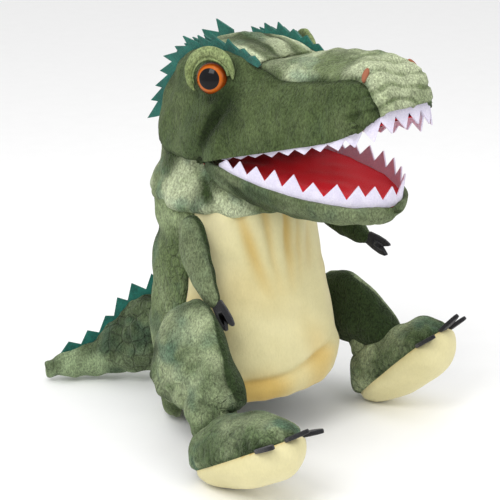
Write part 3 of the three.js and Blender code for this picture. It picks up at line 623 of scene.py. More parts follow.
@dataclass(frozen=True)
class Plush(Finish):
    """Short pile fabric: printed blotches, darker pile between them, pressed scale lines and brushed fibres."""

    base: Colour
    dark: Colour
    light: Colour
    patch: Colour
    marble: float = 0.5
    patches: float = 0.3
    shade: float = 0.4
    scales: float = 0.0
    scale_size: float = 95.0
    blotch: float = 24.0
    fibre: float = 0.75
    sheen: float = 0.12
    bumpy: float = 0.0014

    def build(self) -> bpy.types.Material:
        """Blend the printed colours by noise, break them up with fibres, and press the scale lines in."""
        g = Graph(
            self.name,
            Sheen_Weight=self.sheen,
            Sheen_Roughness=0.45,
            Sheen_Tint=(*[min(1.0, 0.45 + c) for c in self.light], 1),
            Specular_IOR_Level=0.12,
        )
        wander = g.noise(g.place, 30.0, 2.0, 0.5, "Color")
        bent = g.place + (wander - 0.5) * 0.022
        blotches = g.step(g.noise(bent, self.blotch, 3.0, 0.6), 0.42, 0.62)
        spots = g.step(g.noise(bent + (0.31, 0.17, 0.43), self.blotch * 1.3, 2.0, 0.6), 0.5, 0.66)
        shadow = g.step(g.noise(bent + (0.73, 0.59, 0.21), self.blotch * 0.8, 3.0, 0.6), 0.45, 0.7)
        colour = g.mix(blotches * self.marble, self.base, self.light)
        colour = g.mix(spots * self.patches, colour, self.patch)
        colour = g.mix(shadow * self.shade, colour, self.dark)
        # The tone attribute holds each panel's own tone and its painted light and shade, such as in seams, creases and
        # hollows.
        tone = g.tone()
        colour = g.mix(g.step(tone, 0.0, 1.0), colour, self.light)
        colour = g.mix(g.step(tone * -1.0, 0.0, 1.0), colour, self.dark)
        brushed = g.moved(g.place, (1.0, 1.0, 0.55), (0.35, 0.2, 0.1))
        fibres = g.step(g.noise(brushed, 900.0, 2.0, 0.7), 0.28, 0.72)
        tufts = g.step(g.noise(brushed, 190.0, 3.0, 0.65), 0.3, 0.7)
        speckle = (1.0 - 0.72 * self.fibre) + (fibres * 1.0 + tufts * 0.4) * self.fibre
        height = fibres * 0.55 + tufts * 0.6
        if self.scales > 0:
            cells = g.node(
                "TexVoronoi",
                {"feature": "DISTANCE_TO_EDGE"},
                {"Vector": bent, "Scale": self.scale_size, "Randomness": 0.85},
                "Distance",
            )
            line = 1.0 - g.step(cells, 0.0, 0.09)
            pressed = line * g.step(g.noise(g.place, 17.0, 1.0), 0.42, 0.6)
            speckle = speckle * (1.0 - pressed * (0.35 * self.scales))
            height = height - pressed * (1.7 * self.scales)
        rough = 0.86 + fibres * 0.1
        return g.feed(
            Base_Color=colour * speckle, Roughness=rough, Normal=g.bump(height, self.bumpy, 0.9)
        )


@dataclass(frozen=True)
class Velour(Finish):
    """Smooth short velour, with painted shade in a warm colour in its hollows, and a fine brushed nap."""

    base: Colour
    warm: Colour
    pale: Colour

    def build(self) -> bpy.types.Material:
        """Pale the cloth by slow noise, warm it where its tone is below 0, which holds painted shade and random tone,
        pale it where its tone is above 0, and lay a fine nap over it.
        """
        g = Graph(
            self.name,
            Sheen_Weight=0.3,
            Sheen_Roughness=0.4,
            Sheen_Tint=(1.0, 0.96, 0.82, 1),
            Specular_IOR_Level=0.15,
        )
        slow = g.step(g.noise(g.place, 26.0, 3.0), 0.4, 0.68)
        colour = g.mix(slow * 0.5, self.base, self.pale)
        tone = g.tone()
        # Painted shade, with random tone, in the warm colour where the tone is below 0.
        colour = g.mix(g.step(tone * -1.0, 0.0, 1.0), colour, self.warm)
        colour = g.mix(g.step(tone, 0.0, 1.0), colour, self.pale)
        nap = g.noise(g.moved(g.place, (1.0, 1.0, 0.4)), 850.0, 2.0, 0.7)
        brushed = g.noise(g.place, 120.0, 3.0, 0.6)
        speckle = 0.88 + nap * 0.14 + brushed * 0.1
        return g.feed(
            Base_Color=colour * speckle,
            Roughness=0.8 + nap * 0.12,
            Normal=g.bump(nap * 0.4 + brushed * 0.6, 0.0007, 0.8),
        )


@dataclass(frozen=True)
class Felt(Finish):
    """Pressed felt: matted fibres in every direction, a little darker where they thin."""

    base: Colour
    dark: Colour

    def build(self) -> bpy.types.Material:
        """Break the colour up with two sizes of matted fibre."""
        g = Graph(self.name, Sheen_Weight=0.2, Sheen_Roughness=0.6, Specular_IOR_Level=0.1)
        mat = g.noise(g.place, 900.0, 4.0, 0.8)
        cloud = g.noise(g.place, 150.0, 3.0, 0.6)
        colour = g.mix(g.step(mat * 0.6 + cloud * 0.4, 0.35, 0.68), self.dark, self.base)
        return g.feed(Base_Color=colour, Roughness=0.9 + mat * 0.1, Normal=g.bump(mat + cloud, 0.0005, 0.9))


@dataclass(frozen=True)
class Satin(Finish):
    """Woven mouth cloth with a slight gloss and soft creases."""

    base: Colour
    dark: Colour

    def build(self) -> bpy.types.Material:
        """Cross two fine waves for the weave, and darken the cloth with painted shade, by its tone towards the throat
        and along the soft creases.
        """
        g = Graph(self.name, Sheen_Weight=0.12, Sheen_Roughness=0.3, Specular_IOR_Level=0.35)
        weave = [
            g.node("TexWave", {"bands_direction": way}, {"Vector": g.place, "Scale": 620.0, "Distortion": 0.4})
            for way in ("X", "Y")
        ]
        crease = g.noise(g.moved(g.place, (1.0, 0.35, 1.0)), 70.0, 2.0)
        colour = g.mix(g.step(g.tone() * -1.0, 0.0, 1.0), self.base, self.dark)
        # Painted shade along the soft creases.
        colour = g.mix(crease * 0.25, colour, self.dark)
        cloth = weave[0] * weave[1]
        normal = g.bump(cloth * 0.18 + crease, 0.0009, 0.7)
        return g.feed(Base_Color=colour * (0.92 + cloth * 0.14), Roughness=0.5 + crease * 0.2, Normal=normal)


@dataclass(frozen=True)
class Weave(Finish):
    """Plain lining cloth: a crossed weave with slubs."""

    base: Colour
    dark: Colour

    def build(self) -> bpy.types.Material:
        """Cross two waves for the threads and vary them with slow noise."""
        g = Graph(self.name, Specular_IOR_Level=0.2)
        threads = [
            g.node("TexWave", {"bands_direction": way}, {"Vector": g.place, "Scale": 320.0, "Distortion": 1.2})
            for way in ("X", "Z")
        ]
        slub = g.noise(g.place, 130.0, 3.0)
        cloth = threads[0] * 0.5 + threads[1] * 0.5
        colour = g.mix(cloth * 0.6 + slub * 0.3, self.dark, self.base)
        return g.feed(Base_Color=colour, Roughness=0.82 + slub * 0.1, Normal=g.bump(cloth + slub, 0.0004, 0.8))


@dataclass(frozen=True)
class Card(Finish):
    """Pulp board or moulded plastic: a mottled surface with a fine grain."""

    base: Colour
    dark: Colour
    rough: float = 0.8

    def build(self) -> bpy.types.Material:
        """Mottle the colour and roughen the surface with a fine grain."""
        g = Graph(self.name, Specular_IOR_Level=0.35)
        grain = g.noise(g.place, 520.0, 4.0, 0.7)
        mottle = g.noise(g.place, 60.0, 2.0)
        colour = g.mix(g.step(grain * 0.5 + mottle * 0.5, 0.3, 0.7), self.dark, self.base)
        return g.feed(Base_Color=colour, Roughness=self.rough + grain * 0.12, Normal=g.bump(grain, 0.0003, 0.5))


@dataclass(frozen=True)
class Glass(Finish):
    """A moulded safety eye: a glossy dome with an amber ring and a black pupil under it."""

    amber: Colour
    rim: Colour
    pupil: float = 0.66

    def build(self) -> bpy.types.Material:
        """Colour the dome by its tone, which holds each point's share of the radius."""
        g = Graph(self.name, Specular_IOR_Level=0.15, Coat_Roughness=0.02, IOR=1.5)
        share = g.tone()
        streaks = g.noise(g.place, 420.0, 3.0)
        ring = g.mix(g.step(share + (streaks - 0.5) * 0.08, self.pupil + 0.06, 0.92), self.amber, self.rim)
        colour = g.mix(g.step(share, self.pupil - 0.015, self.pupil + 0.02), (0.004, 0.004, 0.005), ring)
        edge = g.step(share, 0.95, 1.0)
        colour = g.mix(edge, colour, (0.05, 0.012, 0.003))
        return g.feed(Base_Color=colour, Roughness=0.12 + edge * 0.2, Coat_Weight=0.08 - edge * 0.07)


@dataclass(frozen=True)
class Thread(Finish):
    """Close satin stitches, side by side across the piece."""

    base: Colour
    dark: Colour

    def build(self) -> bpy.types.Material:
        """Run fine ridges across for the threads."""
        g = Graph(self.name, Sheen_Weight=0.2, Specular_IOR_Level=0.3)
        ridges = g.node(
            "TexWave", {"bands_direction": "Z"}, {"Vector": g.place, "Scale": 520.0, "Distortion": 1.5}
        )
        colour = g.mix(ridges, self.dark, self.base)
        return g.feed(Base_Color=colour, Roughness=0.5 + ridges * 0.2, Normal=g.bump(ridges, 0.0006, 0.9))


SIDE = Plush("side_plush", (0.072, 0.103, 0.038), (0.018, 0.030, 0.009), (0.14, 0.18, 0.078), (0.055, 0.09, 0.045),
             0.35, 0.3, 0.5)
MARBLED = Plush("marbled_plush", (0.17, 0.22, 0.10), (0.035, 0.056, 0.019), (0.56, 0.62, 0.40), (0.09, 0.19, 0.14),
                0.75, 0.5, 0.6, scales=0.2, blotch=26.0)
BODY = Plush("body_plush", (0.115, 0.16, 0.062), (0.03, 0.05, 0.017), (0.33, 0.40, 0.22), (0.065, 0.14, 0.10), 0.65,
             0.5, 0.6, scales=0.5, scale_size=130.0)
JAWS = Plush("jaw_plush", (0.10, 0.135, 0.058), (0.026, 0.044, 0.014), (0.25, 0.30, 0.165), (0.07, 0.13, 0.09), 0.6,
             0.4, 0.5, scales=0.2)
LEGS = Plush("leg_plush", (0.125, 0.175, 0.08), (0.03, 0.05, 0.018), (0.38, 0.44, 0.26), (0.07, 0.16, 0.12), 0.65,
             0.55, 0.55, scales=0.35, scale_size=125.0)
TAILS = Plush("tail_plush", (0.06, 0.088, 0.036), (0.016, 0.027, 0.010), (0.28, 0.36, 0.20), (0.035, 0.10, 0.075), 0.3,
              0.5, 0.5, scales=0.7, scale_size=110.0)
LIME = Plush("lime_plush", (0.21, 0.27, 0.095), (0.06, 0.09, 0.03), (0.36, 0.42, 0.21), (0.15, 0.23, 0.08),
             0.4, 0.2, 0.2)
CREAM = Velour("cream_velour", (0.66, 0.60, 0.33), (0.60, 0.42, 0.13), (0.76, 0.70, 0.42))
TEAL = Felt("teal_felt", (0.012, 0.16, 0.12), (0.006, 0.07, 0.055))
WHITE = Felt("white_felt", (0.82, 0.78, 0.90), (0.66, 0.62, 0.78))
BLACK = Felt("black_felt", (0.022, 0.022, 0.025), (0.008, 0.008, 0.010))
RED = Satin("red_satin", (0.86, 0.012, 0.03), (0.30, 0.004, 0.010))
LINING = Weave("lining_weave", (0.26, 0.30, 0.21), (0.16, 0.19, 0.13))
BOARD = Card("pulp_board", (0.50, 0.38, 0.24), (0.34, 0.25, 0.15))
WASHER = Card("washer_plastic", (0.80, 0.80, 0.77), (0.66, 0.66, 0.63), 0.35)
FIBRE = Plush("fibre_fill", (0.86, 0.86, 0.84), (0.55, 0.55, 0.53), (0.95, 0.95, 0.93), (0.8, 0.8, 0.8), 0.4, 0.2, 0.3)
STITCH = Thread("nostril_thread", (0.10, 0.034, 0.020), (0.045, 0.014, 0.009))
EYE = Glass("eye_glass", (0.50, 0.115, 0.008), (0.17, 0.03, 0.003))


# --- stuffing


@dataclass
class Stuffing:
    """Evens out closed skins and runs the cloth solver over them, all in one run of frames.

    The skins get their stuffed shape from their rings. At this pressure the solver only moves them by about a tenth of
    a millimetre at most.
    """

    pressure: float = 4.0
    frames: int = 20
    waiting: list[tuple[Piece, float]] = field(default_factory=list)

    def add(
        self, name: str, rings: Array, cell: float, cap: float, pinned: Callable[[Array], Array]
    ) -> Piece:
        """Make a skin of even cells from closed rings, and put it in line for the solver.

        Args:
            name: the piece's name.
            rings: the skin's grid.
            cell: the size of its cells in millimetres.
            cap: the furthest a point may move, in millimetres.
            pinned: tells from points which of them a seam holds, from 0 to 1.

        Returns:
            The skin.
        """
        piece = closed(name, rings)
        remesh = piece.modifiers.new("even", "REMESH")
        remesh.mode, remesh.voxel_size, remesh.use_smooth_shade = "VOXEL", cell / 1000, True
        smooth = piece.modifiers.new("smooth", "SMOOTH")
        smooth.factor, smooth.iterations = 0.5, 3
        bake(piece)
        held = piece.vertex_groups.new(name="seam")
        weights = pinned(read_points(piece))
        for level, chosen in ((1.0, weights >= 1.0), (0.5, (weights > 0.25) & (weights < 1.0))):
            held.add(np.nonzero(chosen)[0].tolist(), level, "REPLACE")
        cloth = piece.modifiers.new("cloth", "CLOTH")
        settings = cloth.settings
        settings.quality = 4
        settings.mass = 0.2
        settings.tension_stiffness = settings.compression_stiffness = 14
        settings.shear_stiffness = 8
        settings.bending_stiffness = 0.6
        settings.use_pressure = True
        settings.uniform_pressure_force = self.pressure
        settings.vertex_group_mass = "seam"
        settings.pin_stiffness = 1.0
        settings.effector_weights.gravity = 0
        cloth.point_cache.frame_start, cloth.point_cache.frame_end = 1, self.frames
        cloth.collision_settings.use_collision = False
        self.waiting.append((piece, cap))
        return piece

    def settle(self) -> None:
        """Step through the frames once, cap each point's move, and put the result into the meshes."""
        scene = bpy.context.scene
        for number in range(1, self.frames + 1):
            scene.frame_set(number)
        for piece, cap in self.waiting:
            start = read_points(piece)
            ready = piece.evaluated_get(bpy.context.evaluated_depsgraph_get())
            moved = read_points(ready) - start
            far = np.linalg.norm(moved, axis=-1, keepdims=True)
            start = start + moved * np.minimum(1, cap / np.maximum(far, 1e-9))
            piece.modifiers.remove(piece.modifiers["cloth"])
            write_points(piece, start)
            finer = piece.modifiers.new("finer", "SUBSURF")
            finer.levels = finer.render_levels = 1
            bake(piece)
            LOG.info("%s: settled, %d points", piece.name, len(piece.data.vertices))
        scene.frame_set(1)


def read_points(piece: Piece) -> Array:
    """A mesh's points in the sewing frame."""
    flat = np.zeros(len(piece.data.vertices) * 3, np.float32)
    piece.data.vertices.foreach_get("co", flat)
    return flat.reshape(-1, 3).astype(float) * 1000 - SHIFT


def write_points(piece: Piece, points: Array) -> None:
    """Move a mesh's points, given in the sewing frame."""
    piece.data.vertices.foreach_set("co", to_frame(points).astype(np.float32).ravel())
    piece.data.update()


def read_normals(piece: Piece) -> Array:
    """A mesh's outward directions at its points."""
    flat = np.zeros(len(piece.data.vertices) * 3, np.float32)
    piece.data.vertices.foreach_get("normal", flat)
    return flat.reshape(-1, 3).astype(float)


def write_tones(piece: Piece, tones: Array) -> None:
    """Store each point's tone on a mesh."""
    made = piece.data.attributes.get("tone") or piece.data.attributes.new("tone", "FLOAT", "POINT")
    made.data.foreach_set("value", np.asarray(tones, np.float32))


def bake(piece: Piece) -> None:
    """Put a piece's modifiers into its mesh."""
    shown = piece.evaluated_get(bpy.context.evaluated_depsgraph_get())
    mesh = bpy.data.meshes.new_from_object(shown)
    piece.modifiers.clear()
    piece.data = mesh
    set_smooth(mesh)


def cut_in_two(piece: Piece, name: str, spot: Array, normal: Array) -> Piece:
    """Cut a closed mesh along a plane and close both parts.

    Args:
        piece: the mesh, which keeps the part that the normal points to.
        name: the name of the other part.
        spot: a point on the plane, in the sewing frame.
        normal: the plane's direction.

    Returns:
        The other part as a new object.
    """
    parts = []
    for sign in (1, -1):
        work = bmesh.new()
        work.from_mesh(piece.data)
        cut = bmesh.ops.bisect_plane(
            work,
            geom=[*work.verts, *work.edges, *work.faces],
            plane_co=point(*spot),
            plane_no=(*(sign * normal),),
            clear_inner=True,
        )
        edges = [e for e in cut["geom_cut"] if isinstance(e, bmesh.types.BMEdge)]
        bmesh.ops.holes_fill(work, edges=edges, sides=0)
        bmesh.ops.recalc_face_normals(work, faces=work.faces)
        mesh = bpy.data.meshes.new(piece.name if sign == 1 else name)
        work.to_mesh(mesh)
        work.free()
        set_smooth(mesh)
        parts.append(mesh)
    piece.data = parts[0]
    return put(name, parts[1])


def felt_strip(
    name: str, base: Array, tops: Array, across: Array, thick: float, round_off: float = 0.25
) -> Piece:
    """Make a cut felt strip: a run of four-cornered rings from its base line to its toothed line.

    Args:
        name: the piece's name.
        base: the points of the sewn edge.
        tops: the points of the cut edge.
        across: the direction of the thickness at each point.
        thick: the felt's thickness.
        round_off: how much its edges are rounded.

    Returns:
        The strip.
    """
    half = unit(across) * thick / 2
    rows = [base + half]
    for share in (0.5, 1.0):
        rows.append(base + (tops - base) * share + half * (1.0 - 0.25 * share))
    for share in (1.0, 0.5):
        rows.append(base + (tops - base) * share - half * (1.0 - 0.25 * share))
    rows.append(base - half)
    made = closed(name, np.stack(rows, 1))
    edge = made.modifiers.new("edge", "BEVEL")
    edge.width, edge.segments, edge.limit_method, edge.angle_limit = round_off / 1000, 2, "ANGLE", 0.6
    bake(made)
    set_smooth(made.data, False)
    return made


def saw(path: Path, span: tuple[float, float], pitch: float, seed: int, valley: float = 0.3) -> tuple[Array, Array]:
    """The places and heights of a saw edge along a path, with slightly uneven teeth.

    Args:
        path: the line of the sewn edge.
        span: where on it the strip starts and ends.
        pitch: the length of a tooth.
        seed: which of the uneven patterns to take.
        valley: the height between teeth as a share of a tooth.

    Returns:
        The shares of the path's length, and the height shares there.
    """
    teeth = max(1, round(path.length * (span[1] - span[0]) / pitch))
    rng = np.random.default_rng(seed)
    places = np.linspace(span[0], span[1], 2 * teeth + 1)
    places[1:-1] += rng.uniform(-0.1, 0.1, 2 * teeth - 1) * (span[1] - span[0]) / (2 * teeth)
    heights = np.where(np.arange(2 * teeth + 1) % 2, rng.uniform(0.88, 1.1, 2 * teeth + 1), valley)
    return places, heights


# --- the body

SQUARENESS = 2.15


@dataclass
class Body:
    """The sleeve of the body and the neck: cream at the front, marbled green at the back and sides."""

    pile: float = 3.0
    hem_front: float = 31.0
    hem_flat: float = 42.0
    hem_run: float = 34.4
    seam_y: float = 8.0
    collar: float = 152.0
    lining_top: float = 136.0
    neck_low: float = 147.0
    neck_top: float = 184.5

    WIDE = ((-12, 53), (0, 55.8), (30, 58.2), (57.5, 60), (82, 58.2), (112, 54), (137, 51.6), (150, 49.5),
            (168, 46), (178, 45.6), (190, 45.4))
    DEEP = ((-12, 53), (0, 54.9), (30, 57.2), (57.5, 59), (82, 57.2), (112, 53.1), (137, 50.7), (150, 50),
            (168, 49.2), (178, 49.4), (190, 49))
    AHEAD = ((-12, 5), (0, 6), (137, 18), (168, 19), (190, 19))
    FOLDS = ((-33, 4.5, 3.2, 0.22), (-20, 3.5, 2.4, 0.1), (-6, 4.5, 3.2, -0.05), (4, 3, 1.6, -0.1), (18, 6, 2.0, -0.2))
    MIDDLE = np.array([0, 12, 80])
    NECK_MIDDLE = np.array([0, 19, 165])

    def spot(self, angle: Array, z: Array, grow: Array | float = 0.0) -> Array:
        """The outside of the sleeve: squared ellipses whose half sizes and middle follow the height."""
        share = 2 / SQUARENESS
        x = (curve(self.WIDE, z) + grow) * power(np.cos(angle), share)
        y = curve(self.AHEAD, z) + (curve(self.DEEP, z) + grow) * power(np.sin(angle), share)
        return np.stack([x, y, z + 0 * x], -1)

    def seam_angle(self, z: Array, seam: float | None = None) -> Array:
        """The angle at which the outside crosses the side seam, on the left."""
        seam = self.seam_y if seam is None else seam
        return np.arcsin(np.clip(power((seam - curve(self.AHEAD, z)) / curve(self.DEEP, z), SQUARENESS / 2), -1, 1))

    def hem(self, angle: Array) -> Array:
        """The height of the hem: flat at the back, rising to the front over a slope."""
        y = self.spot(angle, np.full_like(angle, 20.0))[..., 1]
        return self.hem_front * (1 - smoothstep(y, self.hem_flat - self.hem_run - 3, self.hem_flat + 3))

    def panel(self, name: str, start: Callable[[Array], Array], end: Callable[[Array], Array], front: bool) -> None:
        """Make one body panel as a grid of heights by angles between its two seams.

        Args:
            name: the solid that the panel stands for.
            start: the first seam's angle at a height.
            end: the last seam's angle at a height.
            front: whether it is the belly.
        """
        rows, columns = 110, 130
        u, v = grid(shares(rows), shares(columns))
        height = np.full_like(u, 80.0)
        for _ in range(3):
            angle = start(height) * (1 - v) + end(height) * v
            low = self.hem(angle)
            height = low + (self.collar - low) * u
        below = height - low
        tucked = -7.0 * (1 - np.sqrt(np.clip(1 - (1 - np.clip(below / 11, 0, 1)) ** 2, 0, 1)))
        points = self.spot(angle, height, tucked)
        normals = facing(points, False, self.MIDDLE)
        rise = 0.8 * lumps(points, 46, 3) + 0.35 * lumps(points, 17, 4)
        tones = 0.25 * lumps(points, 60, 5)
        if front:
            rise, tones = self.belly_folds(points, rise)
        else:
            nape = bell(height - 128, 9) * smoothstep(-points[..., 0], 10, 40)
            rise -= 2.2 * nape
            # Painted shade in the crease at the nape.
            tones -= 0.55 * nape
        points = points + rise[..., None] * normals
        points, sunk = tuck_edges(points, normals, 1.6, 2.6, "lr")
        points[..., 2] = np.maximum(points[..., 2], self.pile + 0.4)
        # Painted shade in the back panel's sunk seams.
        if not front:
            tones = tones - 0.5 * sunk
        piece = shell(name.replace("panel", "skin"), points, self.pile, self.MIDDLE, tones=tones)
        finish, slot = (CREAM, "plush_cream") if front else (BODY, "plush_scaled")
        dress_bending(piece, (point(0, 18, 131), point(0, 18, 147)), finish, [name])

    def belly_folds(self, points: Array, rise: Array) -> tuple[Array, Array]:
        """Shape the belly's slack cloth: folds that hang from the neck and a turned-up fold along the bottom.

        Args:
            points: the belly's grid.
            rise: how far each point already stands out.

        Returns:
            The new heights, and the tones, with painted shade in a warm colour in the hollows, along the fold and below
            the fold line.
        """
        x, z = points[..., 0], points[..., 2]
        high = smoothstep(z, 88, 138)
        hollow = np.zeros_like(x)
        for middle, wide, deep, slant in self.FOLDS:
            hollow += deep * bell(x - middle - slant * (138 - z), wide)
        hollow *= high
        line = 52 + 0.10 * x + 4 * np.sin(x / 26)
        fold = bell(z - line, 2.6) * smoothstep(-x, -46, -10)
        under = smoothstep(-(z - line), -1, 5)
        rise = 0.6 * rise - hollow - 2.4 * fold + 2.2 * bell(z - line + 9, 7)
        # Painted shade: the hollows, the fold and the cloth below the fold line are darker.
        tones = 0.25 * lumps(points, 50, 8) - 0.26 * hollow * (hollow > 0.2) - 0.45 * under - 0.35 * fold
        return rise, tones

    def neck(self) -> None:
        """Make the neck's outer skin, a whole ring that bulges over the body and dips at the front under the jaw."""
        rows, columns = 60, 200
        u, v = grid(shares(rows), np.linspace(0, 1, columns, endpoint=False))
        angle = 2 * np.pi * v
        y = self.spot(angle, np.full_like(angle, 165.0))[..., 1]
        top = self.neck_low + 4 + (self.neck_top - self.neck_low - 4) * smoothstep(y, -52, 2)
        height = self.neck_low + (top - self.neck_low) * u
        edge = np.clip((height - self.neck_low) / 9, 0, 1)
        bulge = 7 * np.sqrt(np.clip(1 - (1 - edge) ** 2, 0, 1)) * smoothstep(-height, -186, -150) - 3.4
        points = self.spot(angle, height, bulge)
        normals = facing(points, True, self.NECK_MIDDLE)
        near_mouth = bell(y + 6, 12)
        ray = np.arctan2(height - HINGE[2], y - HINGE[1] - 6)
        creases = np.cos(ray * 11) * near_mouth * smoothstep(-height, -180, -166)
        rise = 0.7 * lumps(points, 30, 11) + 0.4 * lumps(points, 13, 12) + 1.3 * creases
        tones = 0.3 * smoothstep(-y, -30, 10) - 0.2 + 0.35 * lumps(points, 40, 13)
        # Painted shade in the hollows of the creases near the mouth.
        tones -= 0.35 * (creases < -0.3) * near_mouth
        points = points + rise[..., None] * normals
        points, sunk = tuck_edges(points, normals, 1.5, 2.5, "tb")
        # Painted shade in the sunk seams at both ends.
        piece = shell("neck_skin", points, self.pile, self.NECK_MIDDLE, True, tones - 0.4 * sunk)
        dress_bending(
            piece, (point(0, 19, 149), point(0, 19, 166)), MARBLED,
            ["neck_panel", "neck_gusset"],
        )

    def lining(self) -> None:
        """Make the sleeve's lining and the rolled hem that closes it on the outer cloth."""
        rows, columns = 50, 120
        u, v = grid(shares(rows), np.linspace(0, 1, columns, endpoint=False))
        angle = 2 * np.pi * v
        low = self.hem(angle) + 2.0
        height = low + (self.lining_top - low) * u
        wrinkle = 0.35 * lumps(self.spot(angle, height), 20, 21)
        points = self.spot(angle, height, -7.6 + wrinkle - 3 * bell(height - low, 6))
        piece = shell("sleeve_cloth", points, LINING_CLOTH, self.MIDDLE, True)
        dress(piece, "torso", LINING, ["sleeve_lining"])
        turn = circle(12)
        around = circle(180)
        a, b = grid(around, turn)
        puff = 2.2 + 0.15 * np.sin(a * 46)
        points = self.spot(a, self.hem(a) + 2.6 + puff * np.sin(b), -8.6 + puff * np.cos(b))
        faces = grid_faces(len(around) + 1, len(turn), True) % (len(around) * len(turn))
        piece = make_object("hem_roll", points.reshape(-1, 3), faces.tolist())
        dress(piece, "torso", BODY, ["hem_binding"])

    def crest(self) -> None:
        """Make the felt crest down the back."""
        z = np.linspace(81, 136, 6)
        path = Path(self.spot(np.full(6, np.pi / 2), z, -1.5))
        places, heights = saw(path, (0, 1), 9, 31, 0.4)
        base = path.at(places)
        tops = base + np.array([0, 9.5, -2.5]) * heights[:, None]
        across = np.tile([1.0, 0, 0], (len(base), 1))
        dress(felt_strip("back_crest_felt", base, tops, across, FELT), "torso", TEAL, ["back_crest"])

    def build(self) -> None:
        """Make every piece of the body and neck."""
        self.panel("belly_panel", lambda z: np.pi - self.seam_angle(z), lambda z: 2 * np.pi + self.seam_angle(z), True)
        self.panel("back_panel", self.seam_angle, lambda z: np.pi - self.seam_angle(z), False)
        self.neck()
        self.lining()
        self.crest()


# --- the head


@dataclass(frozen=True)
class Mark:
    """A crease or a swelling along a line, with how far it stands out, its tone, and the widths of both; a crease's
    tone below 0 is painted shade.
    """

    line: Table
    rise: float
    wide: float
    tone: float = 0.0
    spread: float = 1.0

    def press(self, points: Array, line: Array) -> tuple[Array, Array]:
        """What the mark adds to each point's rise and tone, as bells of the distance from the line."""
        gap = away_from(points, line)
        return self.rise * bell(gap, self.wide), self.tone * bell(gap, self.spread)


